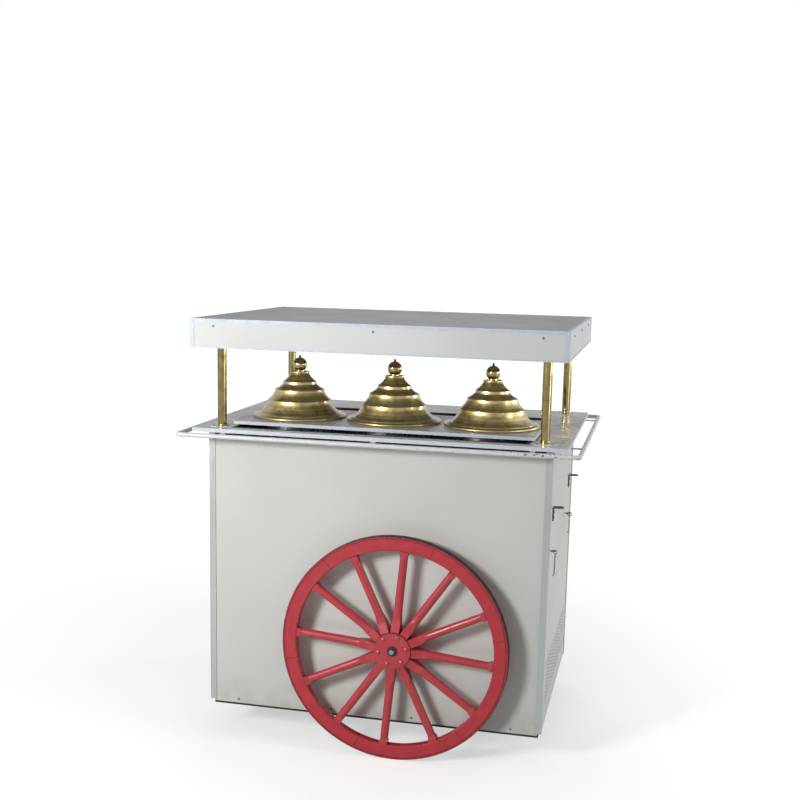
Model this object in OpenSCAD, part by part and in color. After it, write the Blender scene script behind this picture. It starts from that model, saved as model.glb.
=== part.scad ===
// Three-lid ice cream cart: panelled cabinet on two spoked wheels, with a canopy on brass columns.
// X runs to the right, -Y is the front, +Z is up; the origin is on the floor under the middle.

/* [Cabinet] */
// Depth over the corner posts
cabinet_d = 748; // [740:2:840]
// Height of the corner posts
cabinet_h = 860; // [840:5:900]
// Thickness of a wall panel
panel_t = 8; // [6:0.5:9]
// Side of a corner post
post_w = 20; // [19:0.5:24]
// Lip of a corner post outside its panel
post_lip = 1.5; // [1:0.1:2]
// Depth of the panel grooves in a corner post
groove_depth = 7.5; // [6:0.5:8]
// Open strip left above the front panel, which has slipped down
front_gap = 12; // [4:1:16]
// How far the front panel hangs below the posts
front_hang = 6; // [0:1:8]
// Side of the inner frame's square tube
tube_w = 25; // [20:1:30]
// Wall of the inner frame's tube
tube_wall = 2; // [1.5:0.5:3]
// Thickness of the base board
base_t = 16; // [12:1:18]

/* [Side grille] */
// Rows of slots
slot_rows = 13; // [8:1:14]
// Slots in a row
slot_columns = 18; // [10:1:19]
// Length of a slot
slot_l = 22; // [12:1:24]
// Height of a slot
slot_h = 4; // [3:0.5:5]
// Distance from one slot to the next along a row
slot_pitch = 33; // [28:1:34]
// Distance from one row to the next
row_pitch = 11; // [8:0.5:12]
// Middle of the slots above the foot of the posts
grille_z = 130; // [110:5:180]

/* [Counter] */
// How far the counter stands out past the cabinet's sides
counter_out_x = 44; // [36:1:60]
// How far the counter stands out past the cabinet's front and rear
counter_out_y = 26; // [22:1:40]
// Thickness of the counter
counter_t = 12; // [10:1:16]
// Thickness of the metal edge strips
trim_t = 1.5; // [1:0.1:2]
// Where the front edge strip is joined, from the middle
trim_joint_x = 400; // [200:10:500]
// Depth of the cut-out over the tub
cutout_d = 540; // [500:5:560]
// Front edge of the cut-out behind the cabinet's front
cutout_back = 20; // [16:1:30]
// Width of the lip round the cut-out
cutout_lip = 8; // [5:1:12]
// Thickness of that lip
lip_t = 1; // [0.8:0.1:2]
// How far the raised plate runs past each end of the cut-out
plate_rest = 20; // [16:1:24]
// Depth of the raised plate
plate_d = 357; // [340:1:370]
// Thickness of the raised plate
plate_t = 10; // [6:1:12]
// Height of the end strips that lift the plate off the lip
plate_lift = 4; // [2:0.5:6]
// Middle of the raised plate behind the cabinet's front
plate_back = 230; // [225:1:240]

/* [Cans] */
// Distance from one can to the next
can_pitch = 310; // [290:1:340]
// Width of the flange that a can hangs by
can_flange = 11; // [8:0.5:13]
// Depth of a can below the plate
can_depth = 255; // [200:5:265]
// Wall of a can
can_wall = 1.5; // [1:0.1:2]

/* [Lids] */
// Gap from one lid's rolled rim to the next
lid_gap = 14; // [12:1:24]
// How far the rolled rim stands out past the can's flange
lid_over = 17; // [14:0.5:20]
// Height up to the collar
lid_h = 140; // [130:1:150]
// Wall of the spun lid
lid_wall = 1.2; // [0.8:0.1:1.6]
// Radius of the collar under the knob
collar_r = 30; // [24:0.5:32]
// Diameter of the ball knob
knob_d = 45; // [36:1:48]
// Diameter of the black tip on the knob
tip_d = 7; // [5:0.5:9]

/* [Columns] */
// Outer diameter of a column tube
column_d = 28; // [25:1:32]
// Wall of a column tube
column_wall = 1.5; // [1:0.1:2]
// Column centres in from the cabinet's sides
column_in_x = 29; // [26:1:34]
// Column centres in from the cabinet's front and rear
column_in_y = 37; // [30:1:40]
// Gap from a foot flange to the lip round the cut-out
flange_gap = 5; // [2:0.5:12]
// Diameter of a foot flange
flange_d = 76; // [66:1:80]
// Thickness of a foot flange
flange_t = 1.5; // [1:0.1:1.5]

/* [Canopy] */
// How far the canopy stands out past the columns' middles at the sides
canopy_out_x = 67.5; // [50:0.5:90]
// How far the canopy stands out past the columns' middles at the front and rear
canopy_out_y = 89.5; // [60:0.5:100]
// Height of the canopy
canopy_h = 87; // [80:1:100]
// Clear height from the counter to the canopy
serving_h = 245; // [240:1:300]
// Thickness of the fascia boards
fascia_t = 8; // [6:1:12]
// Thickness of the top sheets
sheet_t = 6; // [4:1:8]
// Where the top sheets meet, from the middle
seam_x = 15; // [-60:1:60]
// Thickness of the edge angles
angle_t = 1.2; // [1:0.1:1.6]
// Height of the top edge angles
angle_top = 10; // [8:1:14]
// Height of the bottom edge angles
angle_bottom = 5; // [4:0.5:8]
// Width of the upright corner angles
angle_corner = 15; // [12:1:20]
// Width of a batten that ties the columns
batten_w = 40; // [36:1:50]
// Height of a batten
batten_h = 20; // [16:1:24]

/* [Rail] */
// Diameter of the rail
rail_d = 14; // [10:1:16]
// How far the rail stands out past the counter
rail_out = 42; // [34:1:60]
// Middle of the rail below the counter's underside
rail_drop = 6; // [3:0.5:7]
// Radius of the rail's corners, to its middle
rail_bend = 10; // [9:1:24]
// Width of a rail stub where it leaves the counter
stub_w = 12; // [10:1:16]
// Width of a rail stub where it meets the rail
stub_foot_w = 24; // [18:1:30]
// Thickness of a rail stub
stub_t = 4; // [3:0.5:5]
// Outer front and rear stubs in from the cabinet's sides
stub_in_x = 57; // [45:1:90]
// Side stubs in from the cabinet's front and rear
stub_in_y = 71; // [60:1:95]

/* [Wheels] */
// Diameter over the tyre
wheel_d = 693; // [680:1:730]
// Thickness of the iron tyre
tyre_t = 7; // [5:0.5:8]
// Radial width of the wooden rim
rim_w = 36; // [32:1:44]
// Depth of the wooden rim
rim_depth = 28; // [28:1:40]
// Sections of the wooden rim
rim_sections = 6; // [4, 6]
// Spokes in each section of the rim
spokes_per_section = 2; // [1, 2]
// Width of a spoke at its root
spoke_root_w = 26; // [22:1:28]
// Depth of a spoke at its root, between the hub plates
spoke_root_depth = 42; // [38:1:46]
// Depth of a spoke where its flat sides end
spoke_depth = 26; // [24:1:28]
// Diameter where a spoke turns round
spoke_d = 26; // [22:0.5:26.5]
// Diameter of a spoke at the rim
spoke_end_d = 25; // [20:0.5:25.5]
// Where a spoke's flat sides end, from the wheel's centre
spoke_flat_r = 88; // [80:1:100]
// Length of the chamfer from flat to round
spoke_chamfer = 24; // [14:1:28]
// Diameter of the tenon in the rim
tenon_d = 14; // [10:1:16]
// Diameter of a hub plate
hub_d = 110; // [104:1:116]
// Thickness of a hub plate
hub_plate_t = 5; // [4:0.5:7]
// Diameter of the circle of rivets
rivet_circle_d = 86; // [80:1:90]
// Diameter of a rivet head
rivet_head_d = 15; // [12:1:16]
// Diameter of a rivet shank
rivet_d = 6; // [5:0.5:8]
// Outer diameter of the black bush
bush_d = 31; // [28:1:34]
// Diameter of the axle
axle_d = 15; // [12:1:18]
// Axle to the right of the middle
axle_x = 80; // [0:2:100]
// Gap from a hub to the bearing plate on the panel
hub_gap = 16.5; // [10:0.5:30]
// Side of a bearing plate
bearing_w = 80; // [60:2:90]
// Thickness of a bearing plate
bearing_t = 6; // [4:0.5:8]

/* [Castors] */
// Diameter of a castor wheel
castor_d = 65; // [55:1:70]
// Width of a castor wheel
castor_w = 24; // [18:1:28]
// Castor swivels in from the cabinet's left side
castor_in_x = 125; // [90:5:220]
// Castor swivels in front of and behind the middle
castor_y = 85; // [70:5:140]
// Trail of the castor wheel behind its swivel
castor_trail = 26; // [20:1:30]

/* [Side hardware] */
// Height of the shelf brackets' arms below the counter's underside
bracket_drop = 180; // [150:5:200]
// Front shelf bracket, behind the cabinet's front
bracket_front = 81; // [65:1:95]
// Rear shelf bracket, in front of the cabinet's rear
bracket_rear = 138; // [80:2:180]
// Width of a bracket strap
strap_w = 22; // [16:1:24]
// Thickness of a bracket strap
strap_t = 3.5; // [2:0.5:4]
// Reach of a bracket's arm
arm_l = 33; // [28:1:45]
// Length of a bracket's leg
leg_l = 42; // [36:1:60]
// Height of the front hook's eye below the counter's underside
eye_drop_front = 307; // [290:1:330]
// Height of the rear hook's eye below the counter's underside
eye_drop_rear = 299; // [280:1:330]
// Front hook, behind the cabinet's front
hook_front_in = 49; // [44:1:75]
// Rear hook, in front of the cabinet's rear
hook_rear_in = 214; // [170:2:250]
// Length of the front hook below its eye
hook_front_l = 75; // [50:1:80]
// Length of the rear hook below its eye
hook_rear_l = 62; // [50:1:80]
// Lean of the front hook towards the front, in degrees
hook_lean = 14; // [0:1:16]
// Diameter of the hook's wire
hook_wire = 3.6; // [3:0.2:4]

/* [Cooling] */
// Insulation of the tub
tub_wall = 40; // [30:1:42]
// Depth of the tub over its floor
tub_h = 320; // [310:5:360]
// Diameter of the compressor
compressor_d = 170; // [140:5:190]
// Height of the compressor
compressor_h = 185; // [150:5:200]
// Compressor to the left of the fan
compressor_in = 140; // [130:5:165]
// Width of the condenser, front to rear
condenser_w = 300; // [240:10:340]
// Height of the condenser
condenser_h = 210; // [160:5:220]
// Fins of the condenser
fin_count = 15; // [9:1:21]
// Diameter of the fan
fan_d = 170; // [140:5:180]
// Blades of the fan
fan_blades_n = 5; // [3:1:6]

/* [Hidden] */

$fn = 64;
seat = 0.3;
running = 0.05;
over = 1;

// Heights
axle_z = wheel_d / 2;
castor_plate_t = 3;
castor_head = 25;
castor_h = castor_d + castor_head;
foot_z = castor_h + base_t;
top_z = foot_z + cabinet_h;
counter_z = top_z + counter_t;
plate_z = counter_z + lip_t + plate_lift + plate_t;
canopy_z = counter_z + serving_h;
canopy_top = canopy_z + canopy_h;
rail_z = top_z - rail_drop;

// Cut-out, plate, cans and lids, and the width that follows from them
cans_n = 3;
plate_w = cans_n * can_pitch;
cutout_w = plate_w - 2 * plate_rest;
lid_d = can_pitch - lid_gap;
can_flange_d = lid_d - 2 * lid_over;
can_d = can_flange_d - 2 * can_flange;
column_x = cutout_w / 2 + cutout_lip + flange_gap + flange_d / 2;
half_w = column_x + column_in_x;
half_d = cabinet_d / 2;
cabinet_w = 2 * half_w;
counter_w = cabinet_w + 2 * counter_out_x;
counter_d = cabinet_d + 2 * counter_out_y;
cutout_y = -half_d + cutout_back + cutout_d / 2;
plate_y = -half_d + plate_back;
can_xs = [-can_pitch, 0, can_pitch];
rim_bead = 4.5;
lid_bead = 4;
knob_h = lid_h + seat + knob_d / 2 + 1.5;

// Cabinet
panel_fit = 0.3;
groove_w = panel_t + 2 * panel_fit;
panel_edge = post_w - groove_depth + panel_fit;
panel_out = post_lip + panel_fit;
frame_x = post_lip + groove_w + seat;
frame_y = post_w;

// Columns and canopy
column_y = half_d - column_in_y;
canopy_w = 2 * (column_x + canopy_out_x);
canopy_d = 2 * (column_y + canopy_out_y);
batten_z = canopy_z + angle_bottom;
batten_wall = 2;
column_top = batten_z + batten_h - batten_wall;

// Wheels
rim_r = wheel_d / 2 - tyre_t - 0.1;
rim_in_r = rim_r - rim_w;
spokes_n = rim_sections * spokes_per_section;
spoke_step = 360 / spokes_n;
section_step = 360 / rim_sections;
first_joint = 10;
bearing_y = half_d - panel_out + bearing_t;
hub_y = bearing_y + hub_gap;
wheel_y = hub_y + hub_plate_t + spoke_root_depth / 2;
hub_out_y = hub_y + 2 * hub_plate_t + spoke_root_depth;
washer_t = 3;
axle_proud = 9;
axle_end = hub_out_y + seat + washer_t + axle_proud;
mortise_depth = rim_w * 0.55;

// Castors
castor_wheel_z = castor_d / 2;
castor_x = half_w - castor_in_x;
fork_t = 3;
fork_top_z = castor_h - castor_plate_t - 5 - seat;
fork_gap = castor_w + 2;
kingpin_d = 10;
castor_pin_d = 8;

// Side hardware and cooling
wall_x = half_w - panel_out;
eye_r = 6.5;
eye_x = wall_x + 9;
eye_z_front = top_z - eye_drop_front;
eye_z_rear = top_z - eye_drop_rear;
hook_ring_r = 6;
bracket_z = top_z - bracket_drop;
bracket_hole_d = 5;
tub_front = -half_d + frame_y + tube_w + seat;
tub_rear = cutout_y + cutout_d / 2 + tub_wall;
condenser_x = half_w - 85;
condenser_t = 44;
fan_x = condenser_x - 60;
fan_z = foot_z + 8 + condenser_h / 2;

mitre_gap = 0.1;
post_chamber_in = 2;
compressor_y = 150;
compressor_x = fan_x - compressor_in;
fan_hub_d = 40;
fan_hub_l = 20;
fan_shaft_d = 8;
castor_plate_l = 80;
castor_plate_w = 60;
race_d = 46;
kingpin_head_t = 4;
rim_chamfer = 2;
rim_edge = 1;
tyre_edge = 1.2;
spoke_end_chamfer = 14;
spoke_end_flat = 8;
spoke_shoulder = 1;
eye_shank_in = 6;
hook_bend = 4;
hook_tip = 1.5;
bracket_ys = [bracket_front - half_d, half_d - bracket_rear];
hook_front_y = half_d - hook_front_in;
hook_rear_y = half_d - hook_rear_in;
stub_x = half_w - stub_in_x;
stub_y = half_d - stub_in_y;
stub_xs = [-stub_x, 0, stub_x];
stub_ys = [-stub_y, stub_y];

// Steps of a lid: how far out and how high each rim lies, as shares of its flare and height
lid_steps = [[0.195, 0.80], [0.42, 0.625], [0.615, 0.39]];
flare_hollow = 0.35;
knob_foot_d = 30;
collar_lip = 3;
band_h = 8;
band_out = 1.5;
bead_in = 11;
bead_up = 6;
tip_flat = 0.5;

// Screws: head diameter, shank diameter and shank length
screw_head_d = 7.4;
screw_d = 3.4;
screw_l = 6;
fascia_screw_xs = [-488, 0, 488];
fascia_screw_ys = [-285, 0, 285];
fascia_screw_z = canopy_z + canopy_h * 0.76;
foot_screw_xs = [-432, -128, 128, 432];
foot_screw_up = 7;
bearing_screw = bearing_w / 2 - 10;
bearing_screw_l = bearing_t + screw_l;
castor_screw_l = castor_plate_t + screw_l;

// A box between two limits on each axis
module block(x0, x1, y0, y1, z0, z1) {
    translate([x0, y0, z0]) cube([x1 - x0, y1 - y0, z1 - z0]);
}

// Four copies about the middle of the cart, from the one at front left
module each_corner() {
    for (mx = [0, 1], my = [0, 1]) mirror([mx, 0, 0]) mirror([0, my, 0]) children();
}

// A square tube along X, Y or Z between two points of a box
module box_tube(x0, x1, y0, y1, z0, z1, along) {
    difference() {
        block(x0, x1, y0, y1, z0, z1);
        block(x0 + (along == "x" ? -over : tube_wall), x1 - (along == "x" ? -over : tube_wall),
            y0 + (along == "y" ? -over : tube_wall), y1 - (along == "y" ? -over : tube_wall),
            z0 + (along == "z" ? -over : tube_wall), z1 - (along == "z" ? -over : tube_wall));
    }
}

// Cuts a rectangular ring, centred on the origin, into four mitred lengths
module mitred(w, d, reach) {
    for (turn = [0, 180]) rotate(turn) {
        intersection() {
            children();
            linear_extrude(4000, center = true)
                polygon([[-w / 2 - over + mitre_gap, -d / 2 - over],
                    [w / 2 + over - mitre_gap, -d / 2 - over],
                    [w / 2 - reach - mitre_gap, -d / 2 + reach],
                    [-w / 2 + reach + mitre_gap, -d / 2 + reach]]);
        }
        intersection() {
            children();
            linear_extrude(4000, center = true)
                polygon([[-w / 2 - over, -d / 2 - over + mitre_gap],
                    [-w / 2 - over, d / 2 + over - mitre_gap],
                    [-w / 2 + reach, d / 2 - reach - mitre_gap],
                    [-w / 2 + reach, -d / 2 + reach + mitre_gap]]);
        }
    }
}

// A bar along Y at the axle's place
module along_axle(d, reach) {
    translate([axle_x, 0, axle_z]) rotate([90, 0, 0]) cylinder(d = d, h = 2 * reach, center = true);
}

// A pan-head screw, its head on the plane z = 0, and the hole that takes it
module screw(l) {
    r = screw_head_d / 2;
    rotate_extrude($fn = 24)
        polygon([[0, -l], [screw_d / 2, -l], [screw_d / 2, 0], [r, 0], [r, 0.8],
            [r * 0.8, 1.7], [r * 0.45, 2.2], [0, 2.3]]);
}

module screw_hole(l) {
    translate([0, 0, -l - seat]) cylinder(d = screw_d + 0.2, h = l + seat + over, $fn = 24);
}

module at_fascia_screws() {
    for (my = [0, 1]) mirror([0, my, 0]) for (x = fascia_screw_xs)
        translate([x, -canopy_d / 2 + angle_t, fascia_screw_z]) rotate([90, 0, 0]) children();
    for (mx = [0, 1]) mirror([mx, 0, 0]) for (y = fascia_screw_ys)
        translate([-canopy_w / 2 + angle_t, y, fascia_screw_z]) rotate([0, -90, 0]) children();
}

module at_foot_screws() {
    for (my = [0, 1]) mirror([0, my, 0]) for (x = foot_screw_xs)
        translate([x, -half_d + panel_out, foot_z + foot_screw_up]) rotate([90, 0, 0]) children();
}

module at_flange_screws() {
    each_corner() translate([-column_x, -column_y, counter_z + flange_t]) for (turn = [90, 210, 330])
        rotate(turn) translate([(column_d + flange_d) / 4, 0, 0]) children();
}

module at_bracket_screws() {
    for (y = bracket_ys, down = [leg_l * 0.4, leg_l * 0.78])
        translate([wall_x + strap_t, y, bracket_z - down]) rotate([0, 90, 0]) children();
}

module at_bearing_screws() {
    for (my = [0, 1]) mirror([0, my, 0]) for (sx = [-1, 1], sz = [-1, 1])
        translate([axle_x + sx * bearing_screw, -bearing_y, axle_z + sz * bearing_screw])
            rotate([90, 0, 0]) children();
}

module at_castor_screws() {
    for (side = [-1, 1], sx = [-1, 1], sy = [-1, 1])
        translate([-castor_x + sx * (castor_plate_l / 2 - 8),
            side * castor_y + sy * (castor_plate_w / 2 - 8), castor_h - castor_plate_t])
                rotate([180, 0, 0]) children();
}

module at_stub_screws() {
    for (my = [0, 1]) mirror([0, my, 0]) for (x = stub_xs)
        translate([x, -(half_d + counter_d / 2) / 2, top_z - stub_t]) rotate([180, 0, 0]) children();
    for (mx = [0, 1]) mirror([mx, 0, 0]) for (y = stub_ys)
        translate([-(half_w + counter_w / 2) / 2, y, top_z - stub_t]) rotate([180, 0, 0]) children();
}

// Black welded frame inside the panels, with a beam at front and rear that holds the axle
module inner_frame() {
    left = -half_w + frame_x;
    front = -half_d + frame_y;
    color("#1b1c1e") difference() {
        union() {
            each_corner() box_tube(left, left + tube_w, front, front + tube_w, foot_z, top_z, "z");
            for (my = [0, 1], z = [foot_z, axle_z - tube_w / 2, top_z - 2 * tube_w])
                mirror([0, my, 0])
                    box_tube(left + tube_w, -left - tube_w, front, front + tube_w, z, z + tube_w, "x");
            for (mx = [0, 1], z = [foot_z, top_z - tube_w]) mirror([mx, 0, 0])
                box_tube(left, left + tube_w, front + tube_w, -front - tube_w, z, z + tube_w, "y");
        }
        along_axle(axle_d + 2 * running, cabinet_d);
    }
}

module base_board() {
    inset = frame_x;
    color("#1f2022") difference() {
        block(-half_w + inset, half_w - inset, -half_d + inset, half_d - inset, castor_h, foot_z);
        at_castor_screws() screw_hole(castor_screw_l);
    }
}

// Extruded corner posts with a groove for each of the two panels that meet there
module corner_posts() {
    color("#c9cfda") each_corner() translate([-half_w, -half_d, foot_z]) linear_extrude(cabinet_h)
        difference() {
            square(post_w);
            translate([post_w - groove_depth, post_lip]) square([groove_depth + over, groove_w]);
            translate([post_lip, post_w - groove_depth]) square([groove_w, groove_depth + over]);
            translate([post_chamber_in, post_chamber_in])
                square(post_w - groove_depth - 2 * post_chamber_in);
        }
}

// A wall between two posts, facing the front
module long_wall(z0, z1) {
    difference() {
        block(-half_w + panel_edge, half_w - panel_edge,
            -half_d + panel_out, -half_d + panel_out + panel_t, z0, z1);
        along_axle(axle_d + 6, cabinet_d);
        at_foot_screws() screw_hole(screw_l);
        at_bearing_screws() screw_hole(bearing_screw_l);
    }
}

// A wall between two posts, facing the left
module end_wall() {
    block(-half_w + panel_out, -half_w + panel_out + panel_t, -half_d + panel_edge, half_d - panel_edge,
        foot_z, top_z);
}

module front_panel() {
    color("#d3d5d0") long_wall(foot_z - front_hang, top_z - front_gap);
}

module rear_panel() {
    color("#d3d5d0") mirror([0, 1, 0]) long_wall(foot_z, top_z);
}

module left_panel() {
    color("#d3d5d0") end_wall();
}

// Right wall, with rows of slots for the cooling air and pilot holes for its fittings
module right_panel() {
    color("#d3d5d0") difference() {
        mirror([1, 0, 0]) end_wall();
        for (row = [0 : slot_rows - 1], column = [0 : slot_columns - 1])
            translate([wall_x - panel_t / 2, (column - (slot_columns - 1) / 2) * slot_pitch,
                foot_z + grille_z + (row - (slot_rows - 1) / 2) * row_pitch])
                cube([panel_t + 2 * over, slot_l, slot_h], center = true);
        at_bracket_screws() screw_hole(strap_t + screw_l);
        at_eyes() translate([wall_x - eye_shank_in - seat - eye_x, 0, 0]) rotate([0, 90, 0])
            cylinder(d = hook_wire + 0.2, h = eye_shank_in + 2 * seat + over);
    }
}

module counter_top() {
    color("#a4a5a3") difference() {
        block(-counter_w / 2 + trim_t, counter_w / 2 - trim_t, -counter_d / 2 + trim_t,
            counter_d / 2 - trim_t, top_z, counter_z);
        block(-cutout_w / 2 - trim_t, cutout_w / 2 + trim_t, cutout_y - cutout_d / 2 - trim_t,
            cutout_y + cutout_d / 2 + trim_t, top_z - over, counter_z + over);
        at_flange_screws() screw_hole(flange_t + screw_l);
        at_stub_screws() screw_hole(stub_t + screw_l);
    }
}

// Metal strips round the counter's edge, mitred at the corners, the front one in two lengths
module counter_trim() {
    color("#c3cad8") difference() {
        mitred(counter_w, counter_d, trim_t) difference() {
            block(-counter_w / 2, counter_w / 2, -counter_d / 2, counter_d / 2, top_z, counter_z);
            block(-counter_w / 2 + trim_t, counter_w / 2 - trim_t, -counter_d / 2 + trim_t,
                counter_d / 2 - trim_t, top_z - over, counter_z + over);
        }
        block(trim_joint_x, trim_joint_x + seat, -counter_d / 2 - over, -counter_d / 2 + 2 * trim_t,
            top_z - over, counter_z + over);
    }
}

// Angle strips that line the cut-out, with a thin lip on the counter
module cutout_trim() {
    w = cutout_w + 2 * cutout_lip;
    d = cutout_d + 2 * cutout_lip;
    color("#dfe2e6") translate([0, cutout_y, 0]) mitred(w, d, cutout_lip) difference() {
        union() {
            block(-w / 2, w / 2, -d / 2, d / 2, counter_z, counter_z + lip_t);
            block(-cutout_w / 2 - trim_t, cutout_w / 2 + trim_t, -cutout_d / 2 - trim_t,
                cutout_d / 2 + trim_t, top_z, counter_z + lip_t);
            for (mx = [0, 1]) mirror([mx, 0, 0]) block(cutout_w / 2, w / 2,
                plate_y - plate_d / 2 + trim_t - cutout_y, plate_y + plate_d / 2 - trim_t - cutout_y,
                counter_z, counter_z + lip_t + plate_lift);
        }
        block(-cutout_w / 2, cutout_w / 2, -cutout_d / 2, cutout_d / 2,
            top_z - over, counter_z + 2 * lip_t);
    }
}

module can_plate() {
    color("#aeb0af") difference() {
        block(-plate_w / 2 + trim_t, plate_w / 2 - trim_t, plate_y - plate_d / 2 + trim_t,
            plate_y + plate_d / 2 - trim_t, plate_z - plate_t, plate_z);
        for (x = can_xs) translate([x, plate_y, plate_z - plate_t - over])
            cylinder(d = can_d + 2 * seat, h = plate_t + 2 * over, $fn = 96);
    }
}

module can_plate_trim() {
    color("#c3cad8") translate([0, plate_y, 0]) mitred(plate_w, plate_d, trim_t) difference() {
        block(-plate_w / 2, plate_w / 2, -plate_d / 2, plate_d / 2, plate_z - plate_t, plate_z);
        block(-plate_w / 2 + trim_t, plate_w / 2 - trim_t, -plate_d / 2 + trim_t,
            plate_d / 2 - trim_t, plate_z - plate_t - over, plate_z + over);
    }
}

module at_can(i) {
    translate([can_xs[i], plate_y, plate_z]) children();
}

// Round can that hangs by its flange
module can() {
    r = can_d / 2;
    rotate_extrude($fn = 96)
        polygon([[0, -can_depth], [r, -can_depth], [r, 0], [can_flange_d / 2, 0],
            [can_flange_d / 2, can_wall], [r - can_wall, can_wall],
            [r - can_wall, -can_depth + can_wall], [0, -can_depth + can_wall]]);
}

module can_left() {
    color("#b9bcc0") at_can(0) can();
}

module can_middle() {
    color("#b9bcc0") at_can(1) can();
}

module can_right() {
    color("#b9bcc0") at_can(2) can();
}

// Points of a concave flare from r0, h0 down and out to r1, h1
function flare(r0, h0, r1, h1, n = 5) = [for (i = [1 : n])
    let (t = 90 * i / n, blend = i / n)
    [r0 + (r1 - r0) * (blend + (1 - cos(t) - blend) * flare_hollow),
        h0 - (h0 - h1) * (blend + (sin(t) - blend) * flare_hollow)]];

// Outline of a lid from its flat top to its rim: four flares, with a near-upright band under each step
function lid_outline() = let (
    span = lid_d / 2 - rim_bead - collar_r,
    rims = [for (s = lid_steps) [collar_r + span * s[0], lid_h * s[1]]],
    bands = [for (p = rims) [p[0] + band_out, p[1] - band_h]],
    foot = [lid_d / 2 - rim_bead, rim_bead + 2])
    concat([[collar_r - 1, lid_h - collar_lip]],
        flare(collar_r - 1, lid_h - collar_lip, rims[0][0], rims[0][1]), [bands[0]],
        flare(bands[0][0], bands[0][1], rims[1][0], rims[1][1]), [bands[1]],
        flare(bands[1][0], bands[1][1], rims[2][0], rims[2][1]), [bands[2]],
        flare(bands[2][0], bands[2][1], foot[0], foot[1], 7));

// Spun brass lid: a thin stepped shell with a raised collar, a bead and a rolled rim
module lid() {
    outer = lid_outline();
    inner = [for (i = [len(outer) - 1 : -1 : 0]) outer[i] - [lid_wall, lid_wall]];
    translate([0, 0, seat]) {
        rotate_extrude($fn = 96)
            polygon(concat([[0, lid_h], [collar_r - collar_lip, lid_h],
                [collar_r - collar_lip, lid_h + collar_lip], [collar_r, lid_h + collar_lip],
                [collar_r, lid_h - lid_wall]], outer, inner,
                [[collar_r - collar_lip, lid_h - lid_wall], [0, lid_h - lid_wall]]));
        rotate_extrude($fn = 96) translate([lid_d / 2 - rim_bead, rim_bead]) circle(rim_bead, $fn = 24);
        rotate_extrude($fn = 96) translate([lid_d / 2 - rim_bead - bead_in, rim_bead + bead_up])
            circle(lid_bead, $fn = 24);
    }
}

module knob() {
    stud_z = lid_h + 2 * seat;
    difference() {
        union() {
            translate([0, 0, knob_h]) sphere(d = knob_d);
            translate([0, 0, stud_z]) cylinder(d = knob_foot_d, h = knob_h - stud_z);
        }
        translate([0, 0, knob_h + knob_d / 2 - tip_flat]) cylinder(d = knob_d, h = knob_d);
    }
    translate([0, 0, knob_h + knob_d / 2 - tip_flat]) {
        cylinder(d = tip_d, h = tip_d * 0.7);
        translate([0, 0, tip_d * 0.7]) cylinder(d1 = tip_d, d2 = tip_d * 0.4, h = tip_d * 0.5);
    }
}

module lid_left() {
    color("#9a7f3f") at_can(0) lid();
}

module lid_middle() {
    color("#9a7f3f") at_can(1) lid();
}

module lid_right() {
    color("#9a7f3f") at_can(2) lid();
}

module knob_left() {
    color("#a1864a") at_can(0) knob();
}

module knob_middle() {
    color("#a1864a") at_can(1) knob();
}

module knob_right() {
    color("#a1864a") at_can(2) knob();
}

module columns() {
    color("#8b723c") each_corner() translate([-column_x, -column_y, counter_z]) difference() {
        cylinder(d = column_d, h = column_top - counter_z);
        translate([0, 0, -over])
            cylinder(d = column_d - 2 * column_wall, h = column_top - counter_z + 2 * over);
    }
}

// White turned flanges round the feet of the columns
module column_flanges() {
    r = flange_d / 2;
    bore = column_d / 2 + seat;
    color("#e6e6e2") difference() {
        each_corner() translate([-column_x, -column_y, counter_z]) rotate_extrude()
            polygon([[bore, 0], [r, 0], [r, flange_t * 0.5], [r - flange_t * 0.5, flange_t],
                [bore, flange_t]]);
        at_flange_screws() screw_hole(flange_t + screw_l);
    }
}

module canopy_fascias() {
    x1 = canopy_w / 2 - angle_t;
    y1 = canopy_d / 2 - angle_t;
    z0 = canopy_z + angle_t;
    z1 = canopy_top - angle_t - sheet_t;
    color("#dcdeda") difference() {
        union() {
            for (my = [0, 1]) mirror([0, my, 0]) block(-x1, x1, -y1, -y1 + fascia_t, z0, z1);
            for (mx = [0, 1]) mirror([mx, 0, 0])
                block(-x1, -x1 + fascia_t, -y1 + fascia_t + seat, y1 - fascia_t - seat, z0, z1);
        }
        at_fascia_screws() screw_hole(screw_l);
    }
}

// Two grey sheets that close the canopy, with a seam from front to rear
module canopy_sheets() {
    x1 = canopy_w / 2 - angle_t;
    y1 = canopy_d / 2 - angle_t;
    z1 = canopy_top - angle_t;
    color("#8f9193") for (span = [[-x1, seam_x - seat], [seam_x + seat, x1]])
        block(span[0], span[1], -y1, y1, z1 - sheet_t, z1);
}

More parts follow.
